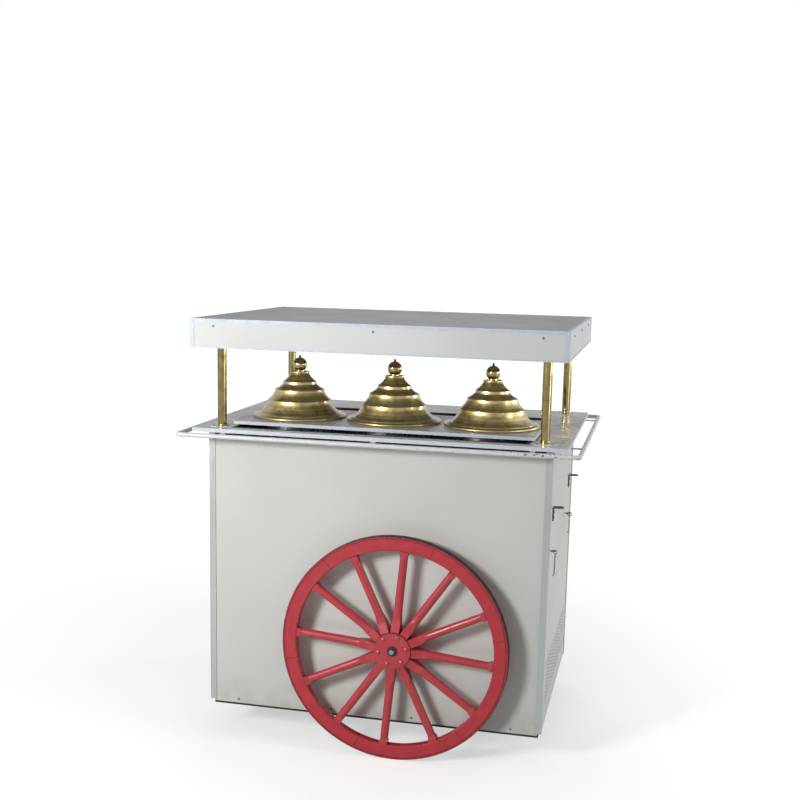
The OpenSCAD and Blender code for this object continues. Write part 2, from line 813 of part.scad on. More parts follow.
// Angle strips on every edge of the canopy, mitred at the top and bottom corners
module canopy_angles() {
    w = canopy_w - 2 * angle_t;
    d = canopy_d - 2 * angle_t;
    under = angle_t + fascia_t + 1;
    color("#c3cad8") {
        mitred(canopy_w, canopy_d, angle_top) difference() {
            block(-canopy_w / 2, canopy_w / 2, -canopy_d / 2, canopy_d / 2,
                canopy_top - angle_top, canopy_top);
            block(-w / 2, w / 2, -d / 2, d / 2, canopy_top - angle_top - over, canopy_top - angle_t);
            block(-canopy_w / 2 + angle_top, canopy_w / 2 - angle_top, -canopy_d / 2 + angle_top,
                canopy_d / 2 - angle_top, canopy_z, canopy_top + over);
        }
        mitred(canopy_w, canopy_d, under) difference() {
            block(-canopy_w / 2, canopy_w / 2, -canopy_d / 2, canopy_d / 2,
                canopy_z, canopy_z + angle_bottom);
            block(-w / 2, w / 2, -d / 2, d / 2, canopy_z + angle_t, canopy_z + angle_bottom + over);
            block(-canopy_w / 2 + under, canopy_w / 2 - under, -canopy_d / 2 + under,
                canopy_d / 2 - under, canopy_z - over, canopy_top);
        }
        each_corner() translate([-canopy_w / 2, -canopy_d / 2, canopy_z + angle_bottom + mitre_gap])
            linear_extrude(canopy_h - angle_top - angle_bottom - 2 * mitre_gap) difference() {
                square(angle_corner);
                translate([angle_t, angle_t]) square(angle_corner);
            }
    }
}

// Two box battens across the canopy, bored from below for the column tops
module canopy_battens() {
    x1 = canopy_w / 2 - angle_t - fascia_t;
    color("#b9bcbf") difference() {
        for (my = [0, 1]) mirror([0, my, 0])
            block(-x1, x1, -column_y - batten_w / 2, -column_y + batten_w / 2,
                batten_z, batten_z + batten_h);
        for (side = [-1, 1])
            block(-x1 - over, x1 + over, side * column_y - batten_w / 2 + batten_wall,
                side * column_y + batten_w / 2 - batten_wall, batten_z + batten_wall, column_top);
        each_corner() translate([-column_x, -column_y, batten_z - over])
            cylinder(d = column_d + 2 * seat, h = batten_wall + 2 * over);
    }
}

// A flat stub that carries the rail, drawn along +X from the counter's underside
module rail_stub(l) {
    translate([0, 0, top_z - stub_t]) linear_extrude(stub_t)
        polygon([[0, -stub_w / 2], [l - stub_foot_w / 2, -stub_w / 2], [l, -stub_foot_w / 2],
            [l, stub_foot_w / 2], [l - stub_foot_w / 2, stub_w / 2], [0, stub_w / 2]]);
}

// White bumper and towel rail all round the counter, welded to its stubs
module rail() {
    x1 = counter_w / 2 + rail_out - rail_d / 2;
    y1 = counter_d / 2 + rail_out - rail_d / 2;
    stub_gap = 2;
    color("#e9e9e6") difference() {
        union() {
            for (side = [-1, 1]) {
                translate([0, side * y1, rail_z]) rotate([0, 90, 0])
                    cylinder(d = rail_d, h = 2 * (x1 - rail_bend), center = true);
                translate([side * x1, 0, rail_z]) rotate([90, 0, 0])
                    cylinder(d = rail_d, h = 2 * (y1 - rail_bend), center = true);
            }
            each_corner() translate([-x1 + rail_bend, -y1 + rail_bend, rail_z]) rotate(180)
                rotate_extrude(angle = 90) translate([rail_bend, 0]) circle(d = rail_d);
            for (my = [0, 1], x = stub_xs) mirror([0, my, 0]) translate([x, -half_d - stub_gap, 0])
                rotate(-90) rail_stub(y1 - half_d - stub_gap);
            for (mx = [0, 1], y = stub_ys) mirror([mx, 0, 0]) translate([half_w + stub_gap, y, 0])
                rail_stub(x1 - half_w - stub_gap);
        }
        at_stub_screws() screw_hole(stub_t + screw_l);
    }
}

// Two steel straps bent to an L on the right wall, which carry a drop-on shelf
module shelf_brackets() {
    bend = strap_t + 2;
    color("#54463c") difference() {
        for (y = bracket_ys) translate([wall_x, y, bracket_z]) intersection() {
            rotate([90, 0, 0]) linear_extrude(strap_w, center = true) {
                translate([0, -leg_l]) square([strap_t, leg_l - bend]);
                translate([bend, -strap_t]) square([arm_l - bend, strap_t]);
                translate([bend, -bend]) intersection() {
                    difference() {
                        circle(bend);
                        circle(bend - strap_t);
                    }
                    translate([-bend, 0]) square(bend);
                }
            }
            union() {
                block(-over, arm_l - strap_w / 2, -strap_w, strap_w, -leg_l - over, over);
                translate([arm_l - strap_w / 2, 0, -leg_l]) cylinder(d = strap_w, h = leg_l + over);
            }
        }
        at_bracket_screws() screw_hole(strap_t + screw_l);
        for (y = bracket_ys) translate([wall_x + arm_l - strap_w / 2, y, bracket_z - strap_t - over])
            cylinder(d = bracket_hole_d, h = strap_t + 2 * over);
    }
}

module ring(r, wire) {
    rotate_extrude() translate([r, 0]) circle(d = wire, $fn = 24);
}

module hook_eye() {
    ring(eye_r, hook_wire);
    translate([wall_x - eye_shank_in - eye_x, 0, 0]) rotate([0, 90, 0])
        cylinder(d = hook_wire, h = eye_x - eye_r - wall_x + eye_shank_in, $fn = 24);
}

module at_eyes() {
    translate([eye_x, -hook_front_y, eye_z_front]) children();
    translate([eye_x, hook_rear_y, eye_z_rear]) children();
}

// Screw eyes in the right wall that the two hooks hang from
module hook_eyes() {
    color("#5c5f62") at_eyes() hook_eye();
}

// A hook that hangs in its eye at the origin: ring, shank and a bent tip towards the wall
module hook(l, lean) {
    translate([eye_r, 0, -(hook_ring_r - hook_wire - seat)]) {
        rotate([90, 0, 0]) ring(hook_ring_r, hook_wire);
        translate([0, 0, -hook_ring_r]) rotate([-lean, 0, 0]) {
            translate([0, 0, hook_ring_r + hook_bend - l])
                cylinder(d = hook_wire, h = l - hook_bend - hook_ring_r, $fn = 24);
            translate([-hook_bend, 0, hook_ring_r + hook_bend - l]) rotate([-90, 0, 0])
                rotate_extrude(angle = 90) translate([hook_bend, 0]) circle(d = hook_wire, $fn = 24);
            translate([-hook_bend - hook_tip, 0, hook_ring_r - l]) rotate([0, 90, 0])
                cylinder(d = hook_wire, h = hook_tip, $fn = 24);
        }
    }
}

module hook_front() {
    color("#5c5f62") translate([eye_x, -hook_front_y, eye_z_front]) hook(hook_front_l, hook_lean);
}

module hook_rear() {
    color("#5c5f62") translate([eye_x, hook_rear_y, eye_z_rear]) hook(hook_rear_l, 0);
}

module canopy_screws() {
    color("#6f6f6c") at_fascia_screws() screw(screw_l);
}

module cabinet_screws() {
    color("#6f6f6c") {
        at_foot_screws() screw(screw_l);
        at_bracket_screws() screw(strap_t + screw_l);
        at_bearing_screws() screw(bearing_screw_l);
    }
}

module counter_screws() {
    color("#6f6f6c") {
        at_flange_screws() screw(flange_t + screw_l);
        at_stub_screws() screw(stub_t + screw_l);
    }
}

module castor_screws() {
    color("#6f6f6c") at_castor_screws() screw(castor_screw_l);
}

module axle() {
    chamfer = 1.5;
    color("#a7aaad") translate([axle_x, 0, axle_z]) rotate([90, 0, 0]) rotate_extrude()
        polygon([[0, -axle_end], [axle_d / 2 - chamfer, -axle_end], [axle_d / 2, -axle_end + chamfer],
            [axle_d / 2, axle_end - chamfer], [axle_d / 2 - chamfer, axle_end], [0, axle_end]]);
}

// Black square plates on the front and rear walls, which the axle runs through
module bearing_plates() {
    s = bearing_w / 2;
    cut = 8;
    color("#1b1c1e") difference() {
        for (my = [0, 1]) mirror([0, my, 0]) translate([axle_x, -bearing_y + bearing_t, axle_z])
            rotate([90, 0, 0]) linear_extrude(bearing_t)
                polygon([[-s + cut, -s], [s - cut, -s], [s, -s + cut], [s, s - cut],
                    [s - cut, s], [-s + cut, s], [-s, s - cut], [-s, -s + cut]]);
        along_axle(axle_d + 2 * running, cabinet_d);
        at_bearing_screws() screw_hole(bearing_screw_l);
    }
}

// Collars fixed on the axle either side of each hub
module axle_collars() {
    color("#2a2b2d") difference() {
        for (my = [0, 1]) mirror([0, my, 0]) translate([axle_x, -bearing_y, axle_z]) rotate([90, 0, 0]) {
            cylinder(d = bush_d - 3, h = hub_gap - seat);
            translate([0, 0, hub_out_y + seat - bearing_y]) cylinder(d = bush_d - 1, h = washer_t);
        }
        along_axle(axle_d + 2 * running, axle_end + over);
    }
}

// Places a wheel piece, drawn in the X-Y plane with +Z outwards, at the front of the axle
module in_wheel() {
    translate([axle_x, -wheel_y, axle_z]) rotate([90, 0, 0]) children();
}

function spoke_turn(i) = first_joint + (i + 0.5) * spoke_step;

// Rim of bent-wood sections, chamfered, with a round mortise for each spoke
module rim() {
    h = rim_depth / 2;
    split = 0.03;
    difference() {
        for (k = [0 : rim_sections - 1]) rotate(first_joint + k * section_step + split / 2)
            rotate_extrude(angle = section_step - split, $fn = 180)
                polygon([[rim_in_r + rim_chamfer, -h], [rim_r - rim_edge, -h], [rim_r, rim_edge - h],
                    [rim_r, h - rim_edge], [rim_r - rim_edge, h], [rim_in_r + rim_chamfer, h],
                    [rim_in_r, h - rim_chamfer], [rim_in_r, rim_chamfer - h]]);
        for (i = [0 : spokes_n - 1]) rotate(spoke_turn(i)) translate([rim_in_r - over * 3, 0, 0])
            rotate([0, 90, 0]) cylinder(d = tenon_d + 0.2, h = mortise_depth + over * 3);
    }
}

// One spoke along +X: wedge root, flat stretch, stop chamfer, tapering round shank,
// square foot and tenon
module spoke() {
    slope = tan(spoke_step / 2);
    side = 0.1;
    half = spoke_root_w / 2 - side;
    root_r = bush_d / 2 + 0.5;
    part_r = (half + side) / slope;
    round_r = spoke_flat_r + spoke_chamfer;
    end_r = sqrt(pow(rim_in_r, 2) - pow(spoke_end_d / 2, 2)) - seat;
    foot_r = end_r - spoke_end_flat;
    neck_r = foot_r - spoke_end_chamfer;
    neck = (spoke_end_d - spoke_shoulder) / sqrt(8);
    foot = [[neck_r, -neck], [foot_r, -spoke_end_d / 2], [end_r, -spoke_end_d / 2],
        [end_r, spoke_end_d / 2], [foot_r, spoke_end_d / 2], [neck_r, neck]];
    root_h = spoke_root_depth / 2;
    flat_h = spoke_depth / 2;
    corner_r = sqrt(pow(spoke_root_w / 2, 2) + pow(flat_h, 2));
    intersection() {
        linear_extrude(spoke_root_depth, center = true)
            polygon([[root_r, side - root_r * slope], [part_r, -half], [round_r, -half],
                [round_r, half], [part_r, half], [root_r, root_r * slope - side]]);
        rotate([90, 0, 0]) linear_extrude(2 * spoke_root_w, center = true)
            polygon([[root_r - over, -root_h], [hub_d / 2 + 3, -root_h], [spoke_flat_r, -flat_h],
                [round_r + over, -flat_h], [round_r + over, flat_h], [spoke_flat_r, flat_h],
                [hub_d / 2 + 3, root_h], [root_r - over, root_h]]);
        union() {
            block(0, spoke_flat_r, -spoke_root_w, spoke_root_w, -spoke_root_depth, spoke_root_depth);
            translate([spoke_flat_r, 0, 0]) rotate([0, 90, 0])
                cylinder(r1 = corner_r, r2 = spoke_d / 2, h = spoke_chamfer);
        }
    }
    translate([round_r, 0, 0]) rotate([0, 90, 0])
        cylinder(d1 = spoke_d, d2 = spoke_end_d - spoke_shoulder, h = foot_r - round_r + over);
    intersection() {
        linear_extrude(spoke_end_d, center = true) polygon(foot);
        rotate([90, 0, 0]) linear_extrude(spoke_end_d, center = true) polygon(foot);
    }
    translate([end_r - over, 0, 0]) rotate([0, 90, 0])
        cylinder(d = tenon_d, h = rim_in_r + mortise_depth - end_r - over);
}

module at_rivets() {
    for (k = [0 : rim_sections - 1]) rotate(first_joint + k * section_step)
        translate([rivet_circle_d / 2, 0, 0]) children();
}

module spokes() {
    difference() {
        for (i = [0 : spokes_n - 1]) rotate(spoke_turn(i)) spoke();
        at_rivets() cylinder(d = rivet_d + 0.2, h = 2 * spoke_root_depth, center = true);
    }
}

module tyre() {
    h = rim_depth / 2 - 0.5;
    r = wheel_d / 2;
    rotate_extrude($fn = 180)
        polygon([[r - tyre_t, -h], [r - tyre_edge, -h], [r, tyre_edge - h], [r, h - tyre_edge],
            [r - tyre_edge, h], [r - tyre_t, h]]);
}

// Two round plates that clamp the spoke roots, and the rivets through them
module hub_plates() {
    h = spoke_root_depth / 2;
    r = hub_d / 2;
    head = rivet_head_d / 2;
    for (mz = [0, 1]) mirror([0, 0, mz]) difference() {
        translate([0, 0, h]) rotate_extrude()
            polygon([[bush_d / 2 + 0.1, 0], [r, 0], [r, hub_plate_t - 1], [r - 1, hub_plate_t],
                [bush_d / 2 + 0.1, hub_plate_t]]);
        at_rivets() cylinder(d = rivet_d + 0.2, h = 2 * spoke_root_depth, center = true);
    }
    at_rivets() rotate_extrude($fn = 32) {
        square([rivet_d / 2, h + hub_plate_t + over]);
        mirror([0, 1]) square([rivet_d / 2, h + hub_plate_t + over]);
        for (my = [0, 1]) mirror([0, my]) translate([0, h + hub_plate_t + running])
            polygon([[0, 0], [head, 0], [head * 0.87, head * 0.26], [head * 0.5, head * 0.46],
                [0, head * 0.53]]);
    }
}

module bush() {
    h = spoke_root_depth / 2 + hub_plate_t;
    difference() {
        cylinder(d = bush_d, h = 2 * h, center = true);
        cylinder(d = axle_d + 2 * running, h = 2 * h + over, center = true);
    }
}

module front_rim() {
    color("#a9323c") in_wheel() rim();
}

module front_spokes() {
    color("#b23540") in_wheel() spokes();
}

module front_tyre() {
    color("#2b2a2a") in_wheel() tyre();
}

module front_hub_plates() {
    color("#a02f39") in_wheel() hub_plates();
}

module front_bush() {
    color("#161617") in_wheel() bush();
}

module rear_rim() {
    color("#a9323c") mirror([0, 1, 0]) in_wheel() rim();
}

module rear_spokes() {
    color("#b23540") mirror([0, 1, 0]) in_wheel() spokes();
}

module rear_tyre() {
    color("#2b2a2a") mirror([0, 1, 0]) in_wheel() tyre();
}

module rear_hub_plates() {
    color("#a02f39") mirror([0, 1, 0]) in_wheel() hub_plates();
}

module rear_bush() {
    color("#161617") mirror([0, 1, 0]) in_wheel() bush();
}

// Plates, ball races and king pins of the two swivel castors under the left end
module castor_plates() {
    color("#8d9093") difference() {
        for (side = [-1, 1]) translate([-castor_x, side * castor_y, 0]) {
            block(-castor_plate_l / 2, castor_plate_l / 2, -castor_plate_w / 2, castor_plate_w / 2,
                castor_h - castor_plate_t, castor_h);
            translate([0, 0, fork_top_z + seat])
                cylinder(d = race_d, h = castor_h - castor_plate_t - fork_top_z - seat);
            translate([0, 0, fork_top_z - fork_t - over])
                cylinder(d = kingpin_d - 2 * running, h = fork_t + 2 * over);
            translate([0, 0, fork_top_z - fork_t - seat - kingpin_head_t])
                cylinder(d = kingpin_d + 8, h = kingpin_head_t);
        }
        at_castor_screws() screw_hole(castor_screw_l);
    }
}

// Pressed fork that swivels on the king pin, with the wheel's pin through its legs
module castor_fork(side) {
    leg_t = 2.5;
    eye = 9;
    translate([-castor_x, side * castor_y, 0]) {
        difference() {
            union() {
                translate([0, 0, fork_top_z - fork_t]) cylinder(d = race_d + 6, h = fork_t);
                for (my = [0, 1]) mirror([0, my, 0]) translate([0, fork_gap / 2 + leg_t, 0])
                    rotate([90, 0, 0]) linear_extrude(leg_t) {
                        polygon([[-14, fork_top_z - over], [18, fork_top_z - over],
                            [castor_trail + eye, castor_wheel_z], [castor_trail - eye, castor_wheel_z]]);
                        translate([castor_trail, castor_wheel_z]) circle(eye);
                    }
            }
            translate([0, 0, fork_top_z - fork_t - over]) cylinder(d = kingpin_d, h = fork_t + 2 * over);
            translate([castor_trail, 0, castor_wheel_z]) rotate([90, 0, 0])
                cylinder(d = castor_pin_d + 0.2, h = 3 * fork_gap, center = true);
        }
        translate([castor_trail, 0, castor_wheel_z]) rotate([90, 0, 0]) {
            cylinder(d = castor_pin_d, h = fork_gap + 2 * leg_t, center = true);
            for (mz = [0, 1]) mirror([0, 0, mz]) translate([0, 0, fork_gap / 2 + leg_t])
                cylinder(d = castor_pin_d + 4, h = 3);
        }
    }
}

module castor_wheel(side) {
    r = castor_d / 2;
    w = castor_w / 2;
    bore = castor_pin_d / 2 + running;
    translate([-castor_x + castor_trail, side * castor_y, castor_wheel_z]) rotate([90, 0, 0])
        rotate_extrude()
            polygon([[bore, -w - 0.5], [12, -w - 0.5], [12, -w + 3], [r - 12, -w + 3],
                [r - 8, -w], [r - 3, -w], [r, -w + 3], [r, w - 3], [r - 3, w], [r - 8, w],
                [r - 12, w - 3], [12, w - 3], [12, w + 0.5], [bore, w + 0.5]]);
}

module castor_fork_front() {
    color("#9a9da0") castor_fork(-1);
}

module castor_fork_rear() {
    color("#9a9da0") castor_fork(1);
}

module castor_wheel_front() {
    color("#3a3a3c") castor_wheel(-1);
}

module castor_wheel_rear() {
    color("#3a3a3c") castor_wheel(1);
}

// Insulated tub under the cut-out, open at the top
module tub() {
    outer_x = half_w - frame_x - tube_w - seat;
    color("#3f4245") difference() {
        block(-outer_x, outer_x, tub_front, tub_rear, top_z - tub_h, top_z);
        block(-cutout_w / 2, cutout_w / 2, tub_front + tub_wall, tub_rear - tub_wall,
            top_z - tub_h + tub_wall, top_z + over);
    }
}

// Hermetic pot on three feet, with the welded flange round its middle
module compressor() {
    r = compressor_d / 2;
    foot_h = 12;
    crown = compressor_h * 0.28;
    color("#232427") translate([compressor_x, compressor_y, foot_z]) {
        translate([0, 0, foot_h]) rotate_extrude()
            polygon(concat([[0, 0], [r * 0.8, 0], [r, r * 0.2], [r, compressor_h * 0.45],
                [r + 6, compressor_h * 0.45], [r + 6, compressor_h * 0.45 + 5],
                [r, compressor_h * 0.45 + 5]],
                [for (t = [0 : 15 : 90]) [r * cos(t), compressor_h - foot_h - crown + crown * sin(t)]]));
        for (turn = [30, 150, 270]) rotate(turn) translate([r * 0.75, 0, 0])
            cylinder(d = 26, h = foot_h + r * 0.2);
    }
}

// Finned heat exchanger behind the slots, its two end plates standing on the base board
module condenser() {
    end_t = 2;
    fin_t = 0.8;
    pipe_d = 9;
    color("#9b9ea0") translate([condenser_x, 0, foot_z]) {
        for (side = [-1, 1]) translate([0, side * (condenser_w / 2 - end_t / 2), 0])
            block(0, condenser_t, -end_t / 2, end_t / 2, 0, condenser_h);
        for (i = [1 : fin_count]) translate([2, (i / (fin_count + 1) - 0.5) * condenser_w, 12])
            block(0, condenser_t - 4, -fin_t / 2, fin_t / 2, 0, condenser_h - 18);
        for (x = [0.3, 0.7], z = [0.15 : 0.175 : 0.85]) translate([condenser_t * x, 0, condenser_h * z])
            rotate([90, 0, 0]) cylinder(d = pipe_d, h = condenser_w - end_t, center = true, $fn = 24);
    }
}

// Fan motor on its bracket, with its shaft towards the condenser
module fan_motor() {
    body_d = 78;
    body_l = 60;
    color("#2c2d30") translate([fan_x - fan_hub_l / 2 - 12, 0, 0]) {
        translate([-body_l, 0, fan_z]) rotate([0, 90, 0]) {
            cylinder(d = body_d, h = body_l);
            cylinder(d = fan_shaft_d, h = body_l + 12 + fan_hub_l + 3);
        }
        block(-body_l * 0.7, -body_l * 0.3, -body_d * 0.3, body_d * 0.3, foot_z, fan_z);
        block(-body_l, 0, -body_d * 0.6, body_d * 0.6, foot_z, foot_z + 4);
    }
}

module fan_blades() {
    tilt = 28;
    color("#c9c9c4") translate([fan_x, 0, fan_z]) rotate([0, 90, 0]) difference() {
        union() {
            cylinder(d = fan_hub_d, h = fan_hub_l, center = true);
            for (i = [0 : fan_blades_n - 1]) rotate(i * 360 / fan_blades_n)
                rotate([tilt, 0, 0]) linear_extrude(1.5, center = true)
                    polygon([[fan_hub_d / 2 - 4, -12], [fan_d * 0.42, -22], [fan_d / 2 - 4, -12],
                        [fan_d / 2 - 4, 14], [fan_d * 0.4, 20], [fan_hub_d / 2 - 4, 10]]);
        }
        cylinder(d = fan_shaft_d + 2 * running, h = 2 * fan_hub_l, center = true);
    }
}

inner_frame();
base_board();
corner_posts();
front_panel();
rear_panel();
left_panel();
right_panel();
counter_top();
counter_trim();
cutout_trim();
can_plate();
can_plate_trim();
can_left();
can_middle();
can_right();
lid_left();
lid_middle();
lid_right();
knob_left();
knob_middle();
knob_right();
columns();
column_flanges();
canopy_fascias();
canopy_sheets();
canopy_angles();
canopy_battens();
rail();
shelf_brackets();
hook_eyes();
hook_front();
hook_rear();
canopy_screws();
cabinet_screws();
counter_screws();
castor_screws();
axle();
bearing_plates();
axle_collars();
front_rim();
front_spokes();
front_tyre();
front_hub_plates();
front_bush();
rear_rim();
rear_spokes();
rear_tyre();
rear_hub_plates();
rear_bush();
castor_plates();
castor_fork_front();
castor_fork_rear();
castor_wheel_front();
castor_wheel_rear();
tub();
compressor();
condenser();
fan_motor();
fan_blades();
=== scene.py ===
"""Looks of the ice cream cart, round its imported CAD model.

Lengths are in metres, in the cart's own frame, apart from those whose names end in _mm.
"""
import random
from math import cos, pi, radians, sin

import bmesh
import bpy
from mathutils import Matrix, Vector


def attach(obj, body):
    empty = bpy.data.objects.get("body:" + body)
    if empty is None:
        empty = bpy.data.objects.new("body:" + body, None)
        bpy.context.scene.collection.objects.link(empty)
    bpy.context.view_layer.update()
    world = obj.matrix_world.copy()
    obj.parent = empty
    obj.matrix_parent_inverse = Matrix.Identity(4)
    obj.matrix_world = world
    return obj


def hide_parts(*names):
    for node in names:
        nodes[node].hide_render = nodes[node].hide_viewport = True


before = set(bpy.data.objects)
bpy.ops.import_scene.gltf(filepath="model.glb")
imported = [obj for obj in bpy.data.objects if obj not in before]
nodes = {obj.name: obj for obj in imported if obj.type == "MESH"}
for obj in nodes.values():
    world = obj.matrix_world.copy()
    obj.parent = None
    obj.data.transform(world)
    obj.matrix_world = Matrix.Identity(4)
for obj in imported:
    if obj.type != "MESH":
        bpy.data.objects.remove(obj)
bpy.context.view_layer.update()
MM = 0.001
SIDES = (-1, 1)

# Places and sizes of the CAD part, as its source gives them. Outer faces, centres and radii.
PANEL_X, PANEL_Y, PANEL_T = 0.5232, 0.3722, 0.008
BRACKET_X, BEARING_Y = 0.5267, 0.3782
FASCIA_X, FASCIA_Y, FASCIA_SCREW_Z = 0.5623, 0.4253, 1.28912
RAIL_CORNER = Vector((0.611, -0.459, 0.96))
COLUMN_X, COLUMN_Y, FLANGE_Z = 0.496, 0.337, 0.9795
WHEEL_X, WHEEL_Z = 0.080, 0.3465
HUB_R, RIM_IN, RIM_OUT, TYRE_R = 0.055, 0.3034, 0.3394, 0.3465
FIRST_JOINT = radians(10)
LID_PLACES = {"left": -0.310, "middle": 0.0, "right": 0.310}
LID_Y, LID_Z = -0.144, 0.9933
LID_H, LID_R, COLLAR_R = 0.140, 0.148, 0.030
KNOB_R, KNOB_Z, KNOB_FOOT_R = 0.0225, 0.1643, 0.015

# The camera, solved from straight edges and the wheel's circle in the photograph.
PICTURE = 800
FOCAL_PX = 1149.454
CENTRE_PX = (406.333, 450.404)
CAMERA_PLACE = Vector((0.8234, -3.6254, 1.5143))
TURN, TILT, ROLL = radians(12.646), radians(9.752), radians(1.264)
SENSOR_MM = 36


def make_camera():
    """Puts the camera where the photograph was taken, with the photograph's off-centre axis."""
    ahead = Vector((-sin(TURN) * cos(TILT), cos(TURN) * cos(TILT), -sin(TILT)))
    level = Vector((cos(TURN), sin(TURN), 0))
    upright = level.cross(ahead)
    right = level * cos(ROLL) + upright * sin(ROLL)
    up = upright * cos(ROLL) - level * sin(ROLL)
    data = bpy.data.cameras.new("camera")
    data.sensor_width = SENSOR_MM
    data.lens = FOCAL_PX / PICTURE * data.sensor_width
    data.shift_x = (PICTURE / 2 - CENTRE_PX[0]) / PICTURE
    data.shift_y = (CENTRE_PX[1] - PICTURE / 2) / PICTURE
    camera = bpy.data.objects.new("camera", data)
    turn = Matrix((right, up, -ahead)).transposed().to_4x4()
    camera.matrix_world = Matrix.Translation(CAMERA_PLACE) @ turn
    bpy.context.collection.objects.link(camera)
    bpy.context.scene.camera = camera


# Nodes. put adds one, and the other helpers make a pattern or a mask of several.
# These are the sockets of a Mix node that blends colours, and its settings to blend or to tint.
AMOUNT, FIRST, SECOND, MIXED = 0, 6, 7, 2
BLEND = {"data_type": "RGBA"}
TINT = {"data_type": "RGBA", "blend_type": "MULTIPLY"}


def srgb(hex_colour):
    """Linear colour of one written as the eye sees it, such as '#d9dbd6'."""
    parts = [int(hex_colour[i:i + 2], 16) / 255 for i in (1, 3, 5)]
    return [c / 12.92 if c <= 0.04045 else ((c + 0.055) / 1.055) ** 2.4 for c in parts] + [1.0]


def put(tree, kind, inputs=None, result=0, stops=None, **settings):
    """Adds a node and returns the socket of its result.

    inputs are the values or sockets that feed it, stops the colours of a ramp by their places,
    and settings the node's own properties.
    """
    made = tree.nodes.new("ShaderNode" + kind)
    for name, value in settings.items():
        setattr(made, name, value)
    for name, value in (inputs or {}).items():
        if isinstance(value, bpy.types.NodeSocket):
            tree.links.new(value, made.inputs[name])
        else:
            made.inputs[name].default_value = value
    if stops:
        ramp = made.color_ramp
        while len(ramp.elements) < len(stops):
            ramp.elements.new(0.5)
        for element, (place, colour) in zip(ramp.elements, stops):
            element.position = place
            element.color = srgb(colour)
    return made.outputs[result] if made.outputs else None


def per_metre(size_mm):
    """How many features of this size fit in a metre, which is a texture's scale."""
    return 1000 / size_mm


def mottle(tree, place, size_mm, stops, **noise):
    """Colour that drifts between tones over patches of about this size."""
    patches = put(tree, "TexNoise", {"Vector": place, "Scale": per_metre(size_mm), **noise})
    return put(tree, "ValToRGB", {"Fac": patches}, stops=stops)


def drift(tree, place, size_mm, least, most, **noise):
    """A number that wanders between two values over patches of about this size."""
    patches = put(tree, "TexNoise", {"Vector": place, "Scale": per_metre(size_mm), **noise})
    return put(tree, "MapRange", {"Value": patches, "From Min": 0.3, "From Max": 0.7,
                                  "To Min": least, "To Max": most})


def drawn_lines(tree, place, sizes_mm, detail):
    """Noise drawn out to these sizes along X, Y and Z, as draw lines and brush marks are."""
    scale = [per_metre(size) for size in sizes_mm]
    lines = put(tree, "Mapping", {"Vector": place, "Scale": scale})
    return put(tree, "TexNoise", {"Vector": lines, "Scale": 1.0, "Detail": detail})


def near(tree, value, target, width):
    """1 where the value is within a width of the target, and 0 past twice that."""
    apart = put(tree, "Math", {0: value, 1: target}, operation="SUBTRACT")
    gap = put(tree, "Math", {0: apart}, operation="ABSOLUTE")
    return put(tree, "MapRange", {"Value": gap, "From Min": width, "From Max": 2 * width,
                                  "To Min": 1.0, "To Max": 0.0})


def height_band(tree, place, low, high):
    """1 at the height low, fading to 0 at the height high."""
    z = put(tree, "SeparateXYZ", {"Vector": place}, "Z")
    return put(tree, "MapRange", {"Value": z, "From Min": low, "From Max": high,
                                  "To Min": 1.0, "To Max": 0.0})


def inside_panels(tree, place, axis, face):
    """1 in the core of the two wall panels whose outer faces are this far from the middle.

    It is 0 on their faces, so only the walls of slots and cut edges take it.
    """
    skin = 0.0002
    along = put(tree, "SeparateXYZ", {"Vector": place}, axis)
    out = put(tree, "Math", {0: along}, operation="ABSOLUTE")
    return near(tree, out, face - PANEL_T / 2, (PANEL_T / 2 - skin) / 2)


def about_axle(tree, place):
    """Radius from the axle in metres, angle round it in radians, and distance along it."""
    x, y, z = [put(tree, "SeparateXYZ", {"Vector": place}, axis) for axis in "XYZ"]
    x = put(tree, "Math", {0: x, 1: WHEEL_X}, operation="SUBTRACT")
    z = put(tree, "Math", {0: z, 1: WHEEL_Z}, operation="SUBTRACT")
    flat = put(tree, "CombineXYZ", {"X": x, "Y": z})
    radius = put(tree, "VectorMath", {0: flat}, "Value", operation="LENGTH")
    return radius, put(tree, "Math", {0: z, 1: x}, operation="ARCTAN2"), y


def new_tree(owner):
    """Node tree of a material or a world, emptied."""
    owner.use_nodes = True
    owner.node_tree.nodes.clear()
    return owner.node_tree


def finish_material(name, recipe, **constants):
    """A material with a Principled shader.

    recipe(tree, place) returns what feeds its sockets, and as Relief a pattern that stands as
    high as a number of millimetres.
    """
    material = bpy.data.materials.new(name)
    tree = new_tree(material)
    place = put(tree, "TexCoord", result="Object")
    feeds = {**constants, **recipe(tree, place)}
    if "Relief" in feeds:
        height, depth_mm = feeds.pop("Relief")
        feeds["Normal"] = put(tree, "Bump", {"Height": height, "Distance": depth_mm * MM})
    put(tree, "OutputMaterial", {"Surface": put(tree, "BsdfPrincipled", feeds)})
    return material


